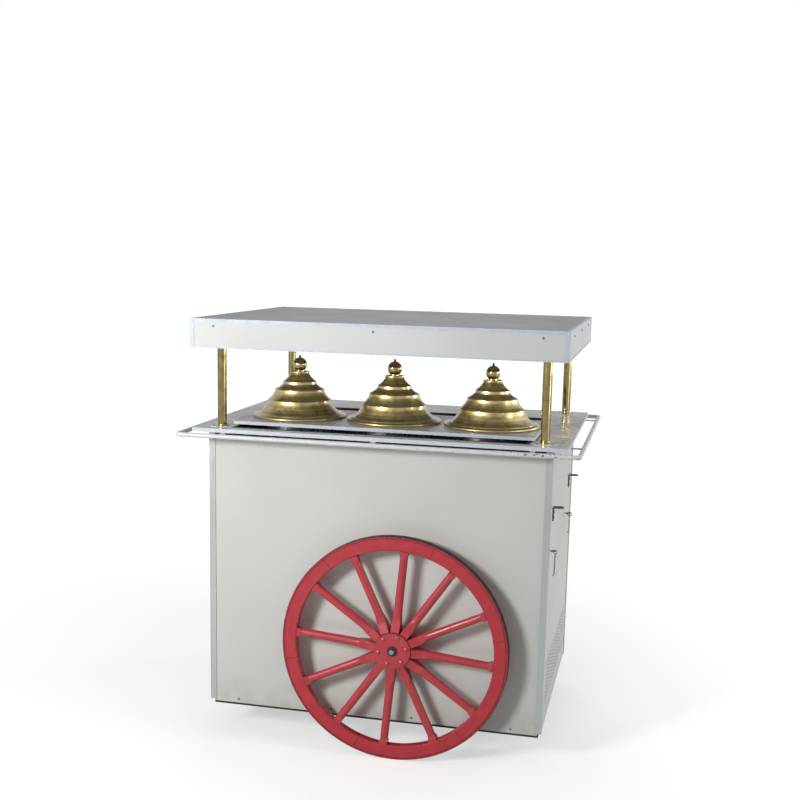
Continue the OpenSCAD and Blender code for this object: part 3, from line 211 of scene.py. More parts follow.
# Recipes. Each says which real material it stands for and what that gives the eye. Patterns that
# are too fine to show, such as pores, draw lines and brush marks, are drawn coarser than they are,
# at the finest size that the render still shows: 0.7 to 2.5 mm, where the real ones are 0.1 to 0.5.
def laminate(light, dark, least=0.3, most=0.42, dark_core=False):
    """High-pressure laminate: hard, faintly warm white, softly glossy, dusty near the ground.

    With dark_core it is black where an edge or a slot cuts through the sheet.
    """
    def recipe(tree, place):
        clean = mottle(tree, place, 520, [(0.35, light), (0.65, dark)], Detail=2.0)
        dust = put(tree, "Math", {0: drift(tree, place, 60, 0.0, 0.45, Detail=6.0),
                                  1: height_band(tree, place, 0.1, 0.2)}, operation="MULTIPLY")
        colour = put(tree, "Mix", {AMOUNT: dust, FIRST: clean, SECOND: srgb("#8f8a7e")}, MIXED, **BLEND)
        if dark_core:
            core = put(tree, "Math", {0: inside_panels(tree, place, "X", PANEL_X),
                                      1: inside_panels(tree, place, "Y", PANEL_Y)}, operation="MAXIMUM")
            colour = put(tree, "Mix", {AMOUNT: core, FIRST: colour, SECOND: srgb("#151516")},
                         MIXED, **BLEND)
        pores = put(tree, "TexNoise", {"Vector": place, "Scale": per_metre(1.5)})
        return {"Base Color": colour, "Roughness": drift(tree, place, 150, least, most, Detail=5.0),
                "Relief": (pores, 0.02)}
    return recipe


def grey_laminate(tree, place):
    """Grey laminate worktop, wiped shiny by use, so it mirrors the columns softly."""
    tone = mottle(tree, place, 160, [(0.35, "#c3c5c1"), (0.65, "#b9bbb8")], Detail=4.0)
    specks = mottle(tree, place, 2.5, [(0.45, "#ffffff"), (0.72, "#efefed")], Detail=2.0)
    return {"Base Color": put(tree, "Mix", {AMOUNT: 1.0, FIRST: tone, SECOND: specks}, MIXED, **TINT),
            "Roughness": drift(tree, place, 70, 0.2, 0.34, Detail=5.0)}


def roof_sheet(tree, place):
    """Grey sheet on the canopy, dull with settled dust."""
    grit = put(tree, "TexNoise", {"Vector": place, "Scale": per_metre(2)})
    return {"Base Color": mottle(tree, place, 260, [(0.3, "#b4b6b9"), (0.7, "#a8aaae")], Detail=5.0),
            "Roughness": drift(tree, place, 90, 0.5, 0.65), "Relief": (grit, 0.03)}


def extruded_aluminium(tree, place):
    """Natural anodised aluminium: pale and cool, with fine draw lines up the extrusion."""
    draw = drawn_lines(tree, place, (0.8, 0.8, 240), 3.0)
    tone = put(tree, "ValToRGB", {"Fac": draw}, stops=[(0.3, "#c3c8c6"), (0.7, "#aeb3b1")])
    return {"Base Color": tone, "Roughness": drift(tree, place, 40, 0.32, 0.46), "Relief": (draw, 0.01)}


def edging_aluminium(light, dark):
    """Anodised aluminium angle: the same cool metal, scuffed dull by hands and cloths."""
    def recipe(tree, place):
        return {"Base Color": mottle(tree, place, 14, [(0.35, light), (0.75, dark)], Detail=5.0),
                "Roughness": drift(tree, place, 14, 0.45, 0.6, Detail=5.0)}
    return recipe


def painted_shade_seal(tree, place):
    """Seal of the cut-out, matt and dusty, coloured black as painted shade, so the joint under the raised
    plate reads as a dark line.
    """
    return {"Base Color": mottle(tree, place, 30, [(0.35, "#1b1c1d"), (0.7, "#2b2c2d")]),
            "Roughness": drift(tree, place, 20, 0.6, 0.8)}


def spun_brass(tarnished, least, most):
    """Brass spun on a lathe, handled and half polished: bright ridges and fine turned rings.

    tarnished is how brown it goes towards its foot, least and most are its roughness.
    """
    def recipe(tree, place):
        z = put(tree, "SeparateXYZ", {"Vector": place}, "Z")
        turned = put(tree, "TexNoise", {"W": z, "Scale": per_metre(1.6), "Detail": 2.0},
                     noise_dimensions="1D")
        passes = put(tree, "TexNoise", {"W": z, "Scale": per_metre(7), "Detail": 3.0},
                     noise_dimensions="1D")
        rings = put(tree, "ValToRGB", {"Fac": turned}, stops=[(0.35, "#ffffff"), (0.7, "#d8ccae")])
        bands = put(tree, "ValToRGB", {"Fac": passes}, stops=[(0.38, "#ffffff"), (0.62, "#b7a67c")])
        spun = mottle(tree, place, 26, [(0.32, "#ecdea6"), (0.52, "#dfcd90"), (0.7, "#c0aa68")],
                      Detail=6.0)
        for marks in (rings, bands):
            spun = put(tree, "Mix", {AMOUNT: 0.5, FIRST: spun, SECOND: marks}, MIXED, **TINT)
        foot = put(tree, "Math", {0: height_band(tree, place, LID_Z + 0.004, LID_Z + 0.05),
                                  1: tarnished}, operation="MULTIPLY")
        brown = put(tree, "Mix", {AMOUNT: foot, FIRST: spun, SECOND: srgb("#8d7a49")}, MIXED, **BLEND)
        return {"Base Color": brown, "Roughness": drift(tree, place, 12, least, most, Detail=6.0),
                "Relief": (turned, 0.05), "Coat Roughness": drift(tree, place, 30, 0.02, 0.09)}
    return recipe


def drawn_brass(tree, place):
    """Drawn brass tube, unlacquered: duller than the lids, with brown spots and faint lines up it."""
    streaks = drawn_lines(tree, place, (1.5, 1.5, 240), 4.0)
    spots = mottle(tree, place, 30, [(0.4, "#d3c48e"), (0.6, "#c3b27a"), (0.74, "#a08c56")], Detail=4.0)
    shade = put(tree, "ValToRGB", {"Fac": streaks}, stops=[(0.3, "#ffffff"), (0.75, "#c9bd9c")])
    return {"Base Color": put(tree, "Mix", {AMOUNT: 0.7, FIRST: spots, SECOND: shade}, MIXED, **TINT),
            "Roughness": drift(tree, place, 25, 0.1, 0.2, Detail=4.0), "Relief": (streaks, 0.015)}


def white_enamel(tree, place):
    """Stoved white enamel on steel, chipped to dark metal, most at the rail's front right corner."""
    away = put(tree, "VectorMath", {0: place, 1: RAIL_CORNER}, "Value", operation="DISTANCE")
    knocked = put(tree, "Math", {0: near(tree, away, 0.0, 0.13), 1: 0.07}, operation="MULTIPLY")
    chips = put(tree, "TexNoise", {"Vector": place, "Scale": per_metre(11), "Detail": 5.0,
                                   "Roughness": 0.65})
    likely = put(tree, "Math", {0: chips, 1: knocked}, operation="ADD")
    bare = put(tree, "MapRange", {"Value": likely, "From Min": 0.655, "From Max": 0.67})
    paint = mottle(tree, place, 40, [(0.35, "#dcdddc"), (0.7, "#cfd1cf")])
    return {"Base Color": put(tree, "Mix", {AMOUNT: bare, FIRST: paint, SECOND: srgb("#26221f")},
                              MIXED, **BLEND),
            "Roughness": drift(tree, place, 8, 0.25, 0.45)}


def wheel_paint(across_mm, along_mm):
    """Red coach paint brushed on ash: satin, the grain faint under it, knocked off along the edges.

    Dirt darkens the joints between the rim's six sections, and a dark ring at the edge of the hub plates is
    painted shade of the crease between plate and spokes.
    """
    def recipe(tree, place):
        radius, angle, depth = about_axle(tree, place)
        mean_radius_mm = 325
        grain = put(tree, "CombineXYZ", {
            "X": put(tree, "Math", {0: radius, 1: per_metre(across_mm)}, operation="MULTIPLY"),
            "Y": put(tree, "Math", {0: angle, 1: mean_radius_mm / along_mm}, operation="MULTIPLY"),
            "Z": put(tree, "Math", {0: depth, 1: per_metre(2.5)}, operation="MULTIPLY")})
        fibres = put(tree, "TexNoise", {"Vector": grain, "Scale": 1.0, "Detail": 4.0})
        paint = mottle(tree, place, 55, [(0.3, "#ba2e3b"), (0.7, "#ab2531")], Detail=5.0)

        edges = put(tree, "Math", {0: near(tree, radius, RIM_IN, 0.0022),
                                   1: near(tree, radius, RIM_OUT, 0.0012)}, operation="MAXIMUM")
        knocks = put(tree, "TexNoise", {"Vector": place, "Scale": per_metre(9), "Detail": 6.0})
        chips = put(tree, "MapRange", {"Value": knocks, "From Min": 0.6, "From Max": 0.63})
        bare = put(tree, "Math", {0: edges, 1: chips}, operation="MULTIPLY")
        worn = put(tree, "Mix", {AMOUNT: bare, FIRST: paint, SECOND: srgb("#4b2a2a")}, MIXED, **BLEND)

        turn = put(tree, "Math", {0: angle, 1: FIRST_JOINT}, operation="SUBTRACT")
        sections = put(tree, "Math", {0: turn, 1: 3 / pi}, operation="MULTIPLY")
        whole = put(tree, "Math", {0: sections}, operation="ROUND")
        apart = put(tree, "Math", {0: sections, 1: whole}, operation="SUBTRACT")
        on_rim = put(tree, "MapRange", {"Value": radius, "From Min": RIM_IN - 0.003,
                                        "From Max": RIM_IN - 0.002})
        joints = put(tree, "Math", {0: near(tree, apart, 0.0, 0.0018), 1: on_rim}, operation="MULTIPLY")
        # The rim joints are dirt; the ring at the hub plates' edge is painted shade.
        joint_grime_and_hub_shade = put(tree, "Math", {0: joints, 1: near(tree, radius, HUB_R + 0.0004, 0.0006)},
                    operation="MAXIMUM")
        return {"Base Color": put(tree, "Mix", {AMOUNT: joint_grime_and_hub_shade, FIRST: worn, SECOND: srgb("#3b1d1f")},
                                  MIXED, **BLEND),
                "Roughness": drift(tree, place, 18, 0.34, 0.5, Detail=4.0), "Relief": (fibres, 0.12)}
    return recipe


def tyre_iron(tree, place):
    """Forged iron tyre: black scale on its tread, its sides painted red with the rim up to a seam."""
    radius = about_axle(tree, place)[0]
    scale = mottle(tree, place, 14, [(0.35, "#262425"), (0.6, "#332d2b"), (0.75, "#4f3c30")], Detail=7.0)
    paint = mottle(tree, place, 40, [(0.3, "#ad2d3a"), (0.7, "#99242f")], Detail=6.0)
    scrapes = put(tree, "TexNoise", {"Vector": place, "Scale": per_metre(12), "Detail": 7.0})
    scuffs = put(tree, "MapRange", {"Value": scrapes, "From Min": 0.58, "From Max": 0.64})
    shoulder = put(tree, "MapRange", {"Value": radius, "From Min": TYRE_R - 0.005,
                                      "From Max": TYRE_R - 0.002})
    tread = put(tree, "MapRange", {"Value": radius, "From Min": TYRE_R - 0.0016,
                                   "From Max": TYRE_R - 0.001})
    scuffed = put(tree, "Math", {0: scuffs, 1: shoulder}, operation="MULTIPLY")
    bare = put(tree, "Math", {0: tread, 1: scuffed}, operation="MAXIMUM")
    dark = put(tree, "Math", {0: bare, 1: near(tree, radius, RIM_OUT, 0.0006)}, operation="MAXIMUM")
    return {"Base Color": put(tree, "Mix", {AMOUNT: dark, FIRST: paint, SECOND: scale}, MIXED, **BLEND),
            "Metallic": put(tree, "Math", {0: dark, 1: 0.6}, operation="MULTIPLY"),
            "Roughness": drift(tree, place, 6, 0.42, 0.7, Detail=5.0)}


def black_paint_and_shade(tree, place):
    """Black enamelled steel: smooth, slightly dusty. On the inner frame and the base board the black is
    painted shade of the dark gaps under the counter and at the cabinet's foot.
    """
    return {"Base Color": mottle(tree, place, 30, [(0.35, "#1b1c1e"), (0.7, "#2a2b2d")], Detail=4.0),
            "Roughness": drift(tree, place, 15, 0.3, 0.5)}


def rusty_strap(tree, place):
    """Bare mild steel strap: the front one oiled, its pale spots painted highlights, the rear one browned
    by rust.
    """
    blooms = mottle(tree, place, 5, [(0.3, "#7a5a44"), (0.5, "#5c4a3d"), (0.7, "#3f3733")], Detail=7.0)
    # The palest tone of the front strap is painted highlight.
    oiled_with_painted_highlights = mottle(tree, place, 6, [(0.4, "#4c5450"), (0.6, "#5e6863"), (0.72, "#a3aca8")], Detail=6.0)
    y = put(tree, "SeparateXYZ", {"Vector": place}, "Y")
    rear = put(tree, "MapRange", {"Value": y, "From Min": -0.1, "From Max": 0.1})
    pits = put(tree, "TexNoise", {"Vector": place, "Scale": per_metre(1.2)})
    return {"Base Color": put(tree, "Mix", {AMOUNT: rear, FIRST: oiled_with_painted_highlights, SECOND: blooms}, MIXED, **BLEND),
            "Roughness": drift(tree, place, 4, 0.4, 0.7), "Relief": (pits, 0.1)}


def zinc_wire(tree, place):
    """Zinc-plated steel wire, gone grey."""
    return {"Base Color": mottle(tree, place, 6, [(0.35, "#8b908e"), (0.7, "#5c615e")], Detail=5.0),
            "Roughness": drift(tree, place, 5, 0.3, 0.5)}


def bright_steel(tree, place):
    """Ground and polished steel bar or pressing, with cloudy grey wear."""
    return {"Base Color": mottle(tree, place, 12, [(0.35, "#b4b6b9"), (0.7, "#8e9194")], Detail=5.0),
            "Roughness": drift(tree, place, 7, 0.2, 0.42)}


def stainless(tree, place):
    """Stainless steel can, brushed round its wall."""
    return {"Base Color": srgb("#c3c5c7"), "Roughness": drift(tree, place, 25, 0.22, 0.34),
            "Relief": (drawn_lines(tree, place, (120, 120, 0.7), 3.0), 0.02)}


def vacuum_formed(dark, pale):
    """Vacuum-formed ABS, with a fine leathery skin."""
    def recipe(tree, place):
        skin = put(tree, "TexVoronoi", {"Vector": place, "Scale": per_metre(1.5)})
        return {"Base Color": mottle(tree, place, 80, [(0.35, dark), (0.7, pale)], Detail=3.0),
                "Roughness": drift(tree, place, 30, 0.45, 0.62), "Relief": (skin, 0.05)}
    return recipe


def castor_rubber(tree, place):
    """Grey-black rubber, scuffed and dusty where it rolls."""
    return {"Base Color": mottle(tree, place, 10, [(0.35, "#333335"), (0.7, "#55534f")], Detail=6.0),
            "Roughness": drift(tree, place, 6, 0.7, 0.9)}


def fin_aluminium(tree, place):
    """Rolled aluminium fins, dull with dust."""
    return {"Base Color": mottle(tree, place, 18, [(0.35, "#a9acae"), (0.7, "#86888a")], Detail=5.0),
            "Roughness": drift(tree, place, 9, 0.4, 0.6)}


METAL = {"Metallic": 1.0}
# The coat is the sharp mirror of handled, rubbed brass over the soft one of its tarnish.
RUBBED = {"Metallic": 1.0, "Coat Weight": 1.0}
EDGING = {"Metallic": 0.1, "Specular IOR Level": 0.3}
FINISHES = {
    # The panels' laminate is painted a tone darker than the fascias': painted shade, as the light falls
    # from above.
    "panel_laminate": (laminate("#d0d2cd", "#c8cac5", dark_core=True), {},
                       ["front_panel", "rear_panel", "left_panel", "right_panel"]),
    "fascia_laminate": (laminate("#d6d8d5", "#cdcfcc", 0.42, 0.56), {"Specular IOR Level": 0.35},
                        ["canopy_fascias"]),
    "grey_laminate": (grey_laminate, {}, ["counter_top", "can_plate"]),
    "grey_roof_sheet": (roof_sheet, {"Specular IOR Level": 0.2}, ["canopy_sheets"]),
    "extruded_aluminium": (extruded_aluminium, {"Metallic": 0.3}, ["corner_posts"]),
    "aluminium_angle": (edging_aluminium("#ccd3dc", "#c0c8d2"), EDGING,
                        ["counter_trim", "can_plate_trim"]),
    "canopy_aluminium_angle": (edging_aluminium("#c6ced9", "#bcc4d1"), EDGING,
                               ["canopy_angles", "canopy_battens"]),
    # The cut-out's trim is painted black as painted shade of the joint under the raised plate.
    "shade_painted_cutout_seal": (painted_shade_seal, {}, ["cutout_trim"]),
    "drawn_brass_tube": (drawn_brass, METAL, ["columns"]),
    "spun_brass": (spun_brass(0.2, 0.34, 0.5), {**RUBBED, "Coat IOR": 1.7},
                   ["lid_left", "lid_middle", "lid_right"]),
    "polished_brass": (spun_brass(0.0, 0.12, 0.22), {**RUBBED, "Coat IOR": 1.6},
                       ["knob_left", "knob_middle", "knob_right"]),
    "white_enamelled_steel": (white_enamel, {}, ["rail", "column_flanges"]),
    "painted_ash_rim": (wheel_paint(2.5, 60), {"Coat Weight": 0.15}, ["front_rim", "rear_rim"]),
    "painted_ash_spokes": (wheel_paint(60, 2.5), {"Coat Weight": 0.5, "Coat Roughness": 0.16},
                           ["front_spokes", "rear_spokes", "front_hub_plates", "rear_hub_plates"]),
    "forged_iron": (tyre_iron, {}, ["front_tyre", "rear_tyre"]),
    # The inner frame and the base board are black as painted shade; the other parts here are black enamel.
    "black_enamel_and_painted_shade": (black_paint_and_shade, {}, [
        "inner_frame", "base_board", "bearing_plates", "axle_collars", "front_bush", "rear_bush",
        "compressor", "fan_motor"]),
    "rusted_mild_steel": (rusty_strap, {"Metallic": 0.5}, ["shelf_brackets"]),
    "zinc_plated_wire": (zinc_wire, METAL, ["hook_eyes", "hook_front", "hook_rear"]),
    "ground_steel": (bright_steel, METAL,
                     ["axle", "castor_plates", "castor_fork_front", "castor_fork_rear"]),
    "brushed_stainless": (stainless, METAL, ["can_left", "can_middle", "can_right"]),
    # The tub's liner is near black as painted shade: the deep inside of the tub, seen through the slot, is
    # dark with shade.
    "abs_liner_dark_as_painted_shade": (vacuum_formed("#2c2e31", "#3a3d40"), {}, ["tub"]),
    "rubber_tread": (castor_rubber, {}, ["castor_wheel_front", "castor_wheel_rear"]),
    "aluminium_fins": (fin_aluminium, {"Metallic": 0.8}, ["condenser"]),
    "white_nylon_fan": (vacuum_formed("#c9c9c5", "#b5b5b0"), {}, ["fan_blades"]),
}


def dress():
    """Gives every CAD node its material."""
    made = {}
    for name, (recipe, constants, members) in FINISHES.items():
        made[name] = finish_material(name, recipe, **constants)
        for member in members:
            nodes[member].data.materials.clear()
            nodes[member].data.materials.append(made[name])
    return made


def soften(width_mm, *names):
    """Rounds the sharp edges of CAD nodes a little, as pressing, sanding and paint do."""
    for name in names:
        weld = nodes[name].modifiers.new("weld", "WELD")
        weld.merge_threshold = 0.00001
        bevel = nodes[name].modifiers.new("edges", "BEVEL")
        bevel.width = width_mm * MM
        bevel.segments = 2
        bevel.limit_method = "ANGLE"
        bevel.angle_limit = radians(35)


def finish_piece(shape, name, body, replaced, skins, sharp_degrees):
    """Makes a bmesh a piece of the cart: closed, facing outwards, in place of CAD nodes on its body."""
    bmesh.ops.remove_doubles(shape, verts=shape.verts, dist=0.000001)
    bmesh.ops.recalc_face_normals(shape, faces=shape.faces)
    mesh = bpy.data.meshes.new(name)
    shape.to_mesh(mesh)
    shape.free()
    for skin in skins:
        mesh.materials.append(skin)
    mesh.shade_smooth()
    mesh.set_sharp_from_angle(angle=radians(sharp_degrees))
    piece = bpy.data.objects.new(name, mesh)
    bpy.context.collection.objects.link(piece)
    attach(piece, body)
    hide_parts(*replaced)


def lathe(shape, outline, foot, steps):
    """Spins an outline of (radius, height) points round an upright line through foot."""
    chain = [shape.verts.new((foot[0] + r, foot[1], foot[2] + h)) for r, h in outline]
    edges = [shape.edges.new(pair) for pair in zip(chain, chain[1:])]
    bmesh.ops.spin(shape, geom=chain + edges, cent=foot, axis=(0, 0, 1), angle=2 * pi, steps=steps,
                   use_merge=True)


def arc(centre, radius, start, end, count):
    """Points on a circle in an outline, from one angle to another in degrees."""
    turns = [radians(start + (end - start) * i / count) for i in range(count + 1)]
    return [(centre[0] + radius * cos(t), centre[1] + radius * sin(t)) for t in turns]


# Rolled rim, bead above it, thickness of the spun sheet, and how hollow the flares are from 0 to 1.
LID_RIM, LID_BEAD, LID_WALL, LID_HOLLOW = 0.0045, 0.004, 0.0012, 0.35
# The lid's three steps: each edge's place between collar and rim, and its share of the height.
LID_STEPS = ((0.195, 0.80), (0.42, 0.625), (0.615, 0.39))


def flare(start, end, count=10):
    """Points of a concave flare, steep where it starts and nearly level where it ends."""
    points = []
    for i in range(1, count + 1):
        t, share = pi / 2 * i / count, i / count
        points.append((start[0] + (end[0] - start[0]) * (share + (1 - cos(t) - share) * LID_HOLLOW),
                       start[1] - (start[1] - end[1]) * (share + (sin(t) - share) * LID_HOLLOW)))
    return points


def lid_outline():
    """Half section of a lid, outside from the collar to the rolled rim and back along the inside."""
    span = LID_R - LID_RIM - COLLAR_R
    edges = [(COLLAR_R + span * out, LID_H * up) for out, up in LID_STEPS]
    bands = [(r + 0.0015, h - 0.008) for r, h in edges]
    bead = (LID_R - LID_RIM - 0.011, LID_RIM + 0.006)
    rim = (LID_R - LID_RIM, LID_RIM)
    wall = [(COLLAR_R - 0.001, LID_H - 0.003)]
    for edge, band in zip(edges, bands):
        wall += flare(wall[-1], edge) + [band]
    wall += flare(bands[-1], (bead[0] - LID_BEAD, bead[1] + 0.002), 12)
    lined = len(wall) + 1
    wall += arc(bead, LID_BEAD, 150, 15, 8)
    wall += arc(rim, LID_RIM, 110, -90, 14) + arc(rim, LID_RIM, -100, -200, 8)
    inside = [(r - LID_WALL, h - LID_WALL) for r, h in reversed(wall[:lined])]
    collar = [(0.0, LID_H), (COLLAR_R - 0.0034, LID_H), (COLLAR_R - 0.003, LID_H + 0.002)]
    collar += arc((COLLAR_R - 0.0015, LID_H + 0.0015), 0.0015, 180, 0, 6) + [(COLLAR_R, LID_H - 0.0012)]
    return collar + wall + inside + [(COLLAR_R - 0.003, LID_H - LID_WALL), (0.0, LID_H - LID_WALL)]


def knob_outline():
    """Half section of a ball knob: turned foot, ball and stepped tip."""
    foot = [(0.0, LID_H + 0.0006), (KNOB_FOOT_R, LID_H + 0.0006), (KNOB_FOOT_R, LID_H + 0.002),
            (KNOB_FOOT_R - 0.0015, LID_H + 0.003)]
    ball = arc((0, KNOB_Z), KNOB_R, -54, 82, 28)
    top = KNOB_Z + KNOB_R
    tip = [(0.0036, top), (0.0034, top + 0.0045), (0.0024, top + 0.0072), (0.0, top + 0.0082)]
    return foot + ball + tip


def make_lids():
    """The three spun lids with their ball knobs, whose tips are black."""
    for side, x in LID_PLACES.items():
        foot = Vector((x, LID_Y, LID_Z))
        shell = bmesh.new()
        lathe(shell, lid_outline(), foot, steps=128)
        finish_piece(shell, "spun_lid_" + side, f"lid_{side}_body", [f"lid_{side}"],
                     [materials["spun_brass"]], sharp_degrees=28)
        ball = bmesh.new()
        lathe(ball, knob_outline(), foot, steps=64)
        tip_z = LID_Z + KNOB_Z + KNOB_R - 0.0002
        for face in [f for f in ball.faces if f.calc_center_median().z > tip_z]:
            face.material_index = 1
        finish_piece(ball, "ball_knob_" + side, f"lid_{side}_body", [f"knob_{side}"],
                     [materials["polished_brass"], materials["black_enamel_and_painted_shade"]],
                     sharp_degrees=40)


HEAD_R, HEAD_H = 0.0037, 0.0023
FLAT_SHARE, FLAT_CELLS = 0.55, 5


def pan_head(shape, place, outward, turn):
    """One pan head with a cross recess, standing on place.

    Its flat top is a grid, the cross is five cells sunk into it, and rings round it make the dome.
    """
    flat = HEAD_R * FLAT_SHARE
    made = bmesh.ops.create_grid(shape, x_segments=FLAT_CELLS, y_segments=FLAT_CELLS, size=flat)["verts"]
    cell = flat * 2 / FLAT_CELLS
    faces = {f for v in made for f in v.link_faces}
    recess = [f for f in faces
              if sorted(abs(round(c / cell)) for c in f.calc_center_median()[:2]) in ([0, 0], [0, 1])]
    rim_edges = [e for e in {e for f in faces for e in f.edges} if len(e.link_faces) == 1]
    verts = list(made)
    for share, height in ((0.82, 0.82), (1.0, 0.4), (1.0, 0.0)):
        ring = bmesh.ops.create_circle(shape, segments=20, radius=HEAD_R * share,
                                       matrix=Matrix.Translation((0, 0, HEAD_H * (height - 1))))["verts"]
        ring_edges = list({e for v in ring for e in v.link_edges})
        bmesh.ops.bridge_loops(shape, edges=rim_edges + ring_edges)
        rim_edges, verts = ring_edges, verts + list(ring)
    deep = bmesh.ops.extrude_face_region(shape, geom=recess)["geom"]
    floor = [v for v in deep if isinstance(v, bmesh.types.BMVert)]
    bmesh.ops.translate(shape, verts=floor, vec=(0, 0, -HEAD_H * 0.6))
    bmesh.ops.delete(shape, geom=recess, context="FACES_ONLY")
    bmesh.ops.contextual_create(shape, geom=rim_edges)
    spin = Matrix.Rotation(turn, 4, "Z")
    face_out = Vector(outward).to_track_quat("Z", "Y").to_matrix().to_4x4()
    lift = Matrix.Translation((0, 0, HEAD_H))
    stand = Matrix.Translation(place) @ face_out @ spin @ lift
    bmesh.ops.transform(shape, matrix=stand, verts=verts + floor)


def screw_places():
    """Where the screws of each CAD node stand on their parts, and the way their heads face."""
    canopy = [((x, side * FASCIA_Y, FASCIA_SCREW_Z), (0, side, 0))
              for side in SIDES for x in (-0.488, 0, 0.488)]
    canopy += [((side * FASCIA_X, y, FASCIA_SCREW_Z), (side, 0, 0))
               for side in SIDES for y in (-0.285, 0, 0.285)]

    panel_foot_z, bracket_top_z = 0.113, 0.786
    cabinet = [((x, side * PANEL_Y, panel_foot_z), (0, side, 0))
               for side in SIDES for x in (-0.432, -0.128, 0.128, 0.432)]
    cabinet += [((BRACKET_X, y, bracket_top_z - down), (1, 0, 0))
                for y in (-0.293, 0.236) for down in (0.0168, 0.0328)]
    cabinet += [((WHEEL_X + dx, side * BEARING_Y, WHEEL_Z + dz), (0, side, 0))
                for side in SIDES for dx in (-0.03, 0.03) for dz in (-0.03, 0.03)]

    circle, stub_z = 0.026, 0.962
    counter = [((sx * (COLUMN_X - circle * cos(t)), sy * (COLUMN_Y - circle * sin(t)), FLANGE_Z), (0, 0, 1))
               for sx in SIDES for sy in SIDES for t in (radians(90), radians(210), radians(330))]
    counter += [((x, side * 0.387, stub_z), (0, 0, -1)) for side in SIDES for x in (-0.468, 0, 0.468)]
    counter += [((side * 0.547, y, stub_z), (0, 0, -1)) for side in SIDES for y in (-0.303, 0.303)]

    castor_x, castor_y, castor_plate_z = -0.400, 0.085, 0.087
    castor = [((castor_x + dx, side * castor_y + dy, castor_plate_z), (0, 0, -1))
              for side in SIDES for dx in (-0.032, 0.032) for dy in (-0.022, 0.022)]
    return {"canopy_screws": canopy, "cabinet_screws": cabinet, "counter_screws": counter,
            "castor_screws": castor}


def make_screws():
    """Cross-recessed pan heads, each turned its own way."""
    turns = random.Random(11)
    for node, places in screw_places().items():
        heads = bmesh.new()
        for place, outward in places:
            pan_head(heads, place, outward, turns.uniform(0, pi))
        finish_piece(heads, node + "_heads", "cart", [node],
                     [materials["zinc_plated_wire"]], sharp_degrees=30)


HOOK_TOP = Vector((0.5387, -0.325, 0.6569))
HOOK_LEAN = radians(14)
HOOK_RING, HOOK_WIRE = 0.0052, 0.00095


def hook_wire(name, points, replaced, closed=False):
    """Round zinc-plated wire of the front hook, bent through these points."""
    data = bpy.data.curves.new(name, "CURVE")
    data.dimensions = "3D"
    data.bevel_depth = HOOK_WIRE
    data.bevel_resolution = 4
    data.use_fill_caps = True
    line = data.splines.new("POLY")
    line.points.add(len(points) - 1)
    for point, place in zip(line.points, points):
        point.co = (*place, 1)
    line.use_cyclic_u = closed
    data.materials.append(materials["zinc_plated_wire"])
    piece = bpy.data.objects.new(name, data)
    bpy.context.collection.objects.link(piece)
    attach(piece, "hook_front_body")
    if replaced:
        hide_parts(*replaced)


def make_front_hook():
    """The front hook is one thin wire, doubled back through its eye and twisted on itself."""
    around, steps = 40, 160
    ring = [HOOK_TOP + HOOK_RING * Vector((sin(t), 0, cos(t)))
            for t in [2 * pi * i / around for i in range(around)]]
    hook_wire("twisted_hook_ring", ring, ["hook_front"], closed=True)
    down = Vector((0, -sin(HOOK_LEAN), -cos(HOOK_LEAN)))
    side = Vector((0, cos(HOOK_LEAN), -sin(HOOK_LEAN)))
    out = Vector((1, 0, 0))
    length, twists, tip, tip_steps = 0.062, 8, 0.0035, 8
    start = HOOK_TOP + Vector((0, 0, -HOOK_RING))
    for strand in (0, 1):
        points = []
        for i in range(steps + 1):
            t = 2 * pi * twists * i / steps + pi * strand
            points.append(start + down * length * i / steps + HOOK_WIRE * (out * cos(t) + side * sin(t)))
        if strand:
            end = points[-1]
            points += [end + tip * (out * (cos(a) - 1) + down * sin(a))
                       for a in [pi / 2 * i / tip_steps for i in range(1, tip_steps + 1)]]
            points.append(points[-1] - 0.0015 * out)
        hook_wire("twisted_hook_strand_%d" % strand, points, [])


def add_lamp(name, place, target, size, power):
    """A white softbox at place that faces target."""
    data = bpy.data.lights.new(name, "AREA")
    data.shape = "RECTANGLE"
    data.size, data.size_y = size
    data.energy = power
    lamp = bpy.data.objects.new(name, data)
    ahead = Vector(target) - Vector(place)
    lamp.matrix_world = Matrix.Translation(place) @ ahead.to_track_quat("-Z", "Y").to_matrix().to_4x4()
    bpy.context.collection.objects.link(lamp)


def seen_directly(tree):
    """1 for the rays that show the stage itself: those of the camera, straight or through glass."""
    camera = put(tree, "LightPath", result="Is Camera Ray")
    glass = put(tree, "LightPath", result="Is Transmission Ray")
    return put(tree, "Math", {0: camera, 1: glass}, operation="MAXIMUM")


def make_sky():
    """A white background for the camera, and a much darker room for light and reflections.

    Reflections see a room that darkens upwards, which gives the brass and the counter their depth.
    """
    world = bpy.data.worlds.new("studio")
    bpy.context.scene.world = world
    tree = new_tree(world)
    place = put(tree, "TexCoord", result="Object")
    up = put(tree, "SeparateXYZ", {"Vector": place}, "Z")
    room = put(tree, "MapRange", {"Value": up, "From Min": 0.0, "From Max": 0.7,
                                  "To Min": 0.7, "To Max": 0.5})
    glossy = put(tree, "LightPath", result="Is Glossy Ray")
    indirect = put(tree, "MapRange", {"Value": glossy, "To Min": 0.2, "To Max": room})
    level = put(tree, "MapRange", {"Value": seen_directly(tree), "To Min": indirect, "To Max": 1.0})
    sky = put(tree, "Background", {"Color": srgb("#ffffff"), "Strength": level})
    put(tree, "OutputWorld", {"Surface": sky})


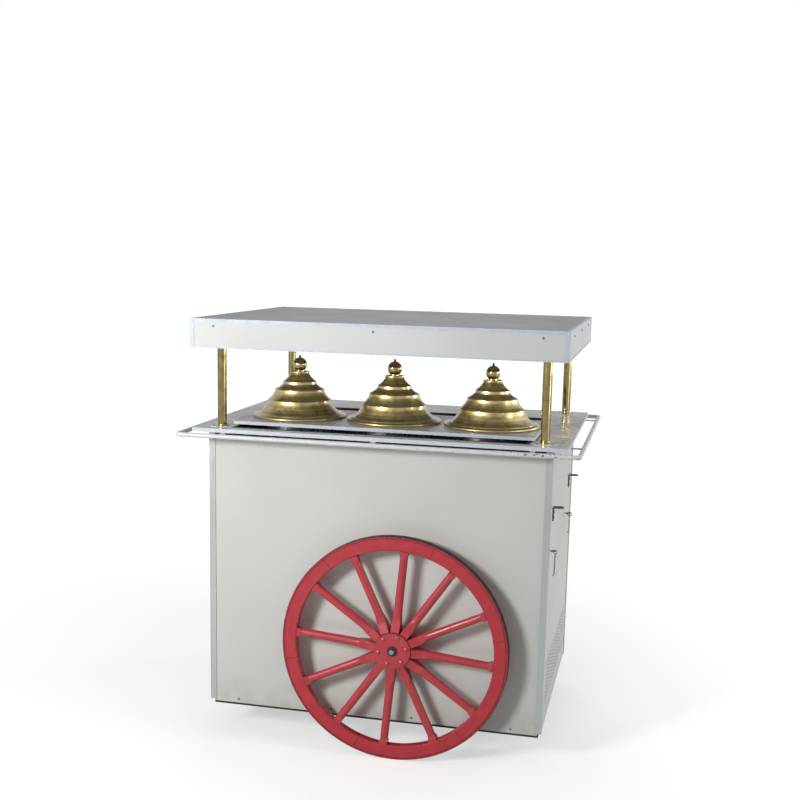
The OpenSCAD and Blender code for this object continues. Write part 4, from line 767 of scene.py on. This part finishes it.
def make_floor():
    """Plain pale paper. It takes the cart's shadow and turns white away from the cart.

    Reflections see it glow faintly, as lit paper does.
    """
    ground = bmesh.new()
    bmesh.ops.create_grid(ground, x_segments=1, y_segments=1, size=30)
    mesh = bpy.data.meshes.new("floor")
    ground.to_mesh(mesh)
    floor = bpy.data.objects.new("floor", mesh)
    bpy.context.collection.objects.link(floor)
    material = bpy.data.materials.new("pale_floor")
    tree = new_tree(material)
    place = put(tree, "TexCoord", result="Object")
    away = put(tree, "VectorMath", {0: place}, "Value", operation="LENGTH")
    fade = put(tree, "MapRange", {"Value": away, "From Min": 0.7, "From Max": 4.0,
                                  "To Min": 0.55, "To Max": 1.0})
    seen = put(tree, "Math", {0: seen_directly(tree), 1: fade}, operation="MULTIPLY")
    glossy = put(tree, "LightPath", result="Is Glossy Ray")
    mirrored = put(tree, "Math", {0: glossy, 1: 0.3}, operation="MULTIPLY")
    glow = put(tree, "Math", {0: seen, 1: mirrored}, operation="ADD")
    paper = put(tree, "BsdfPrincipled", {
        "Base Color": srgb("#bcbcba"), "Roughness": 0.9, "Emission Color": srgb("#ffffff"),
        "Emission Strength": glow})
    put(tree, "OutputMaterial", {"Surface": paper})
    mesh.materials.append(material)


def make_stage():
    """Background, floor and lamps. The rear lamps stand where no pale face mirrors them."""
    make_sky()
    make_floor()
    bpy.context.scene.view_settings.view_transform = "Standard"
    add_lamp("key softbox", (-1.55, -2.75, 1.72), (0, -0.3, 0.6), (0.7, 0.7), 72)
    add_lamp("right strip light", (3.0, -0.7, 1.8), (0.4, 0, 0.9), (0.7, 2.4), 26)
    add_lamp("upper rear softbox", (-0.6, 2.6, 3.6), (0, 0, 0.8), (1.4, 1.4), 26)
    add_lamp("rear right softbox", (3.1, 1.9, 1.4), (0, 0, 0.7), (1.1, 1.1), 38)


make_camera()
materials = dress()
soften(0.6, "front_rim", "rear_rim", "front_spokes", "rear_spokes", "front_tyre", "rear_tyre")
make_lids()
make_screws()
make_front_hook()
make_stage()
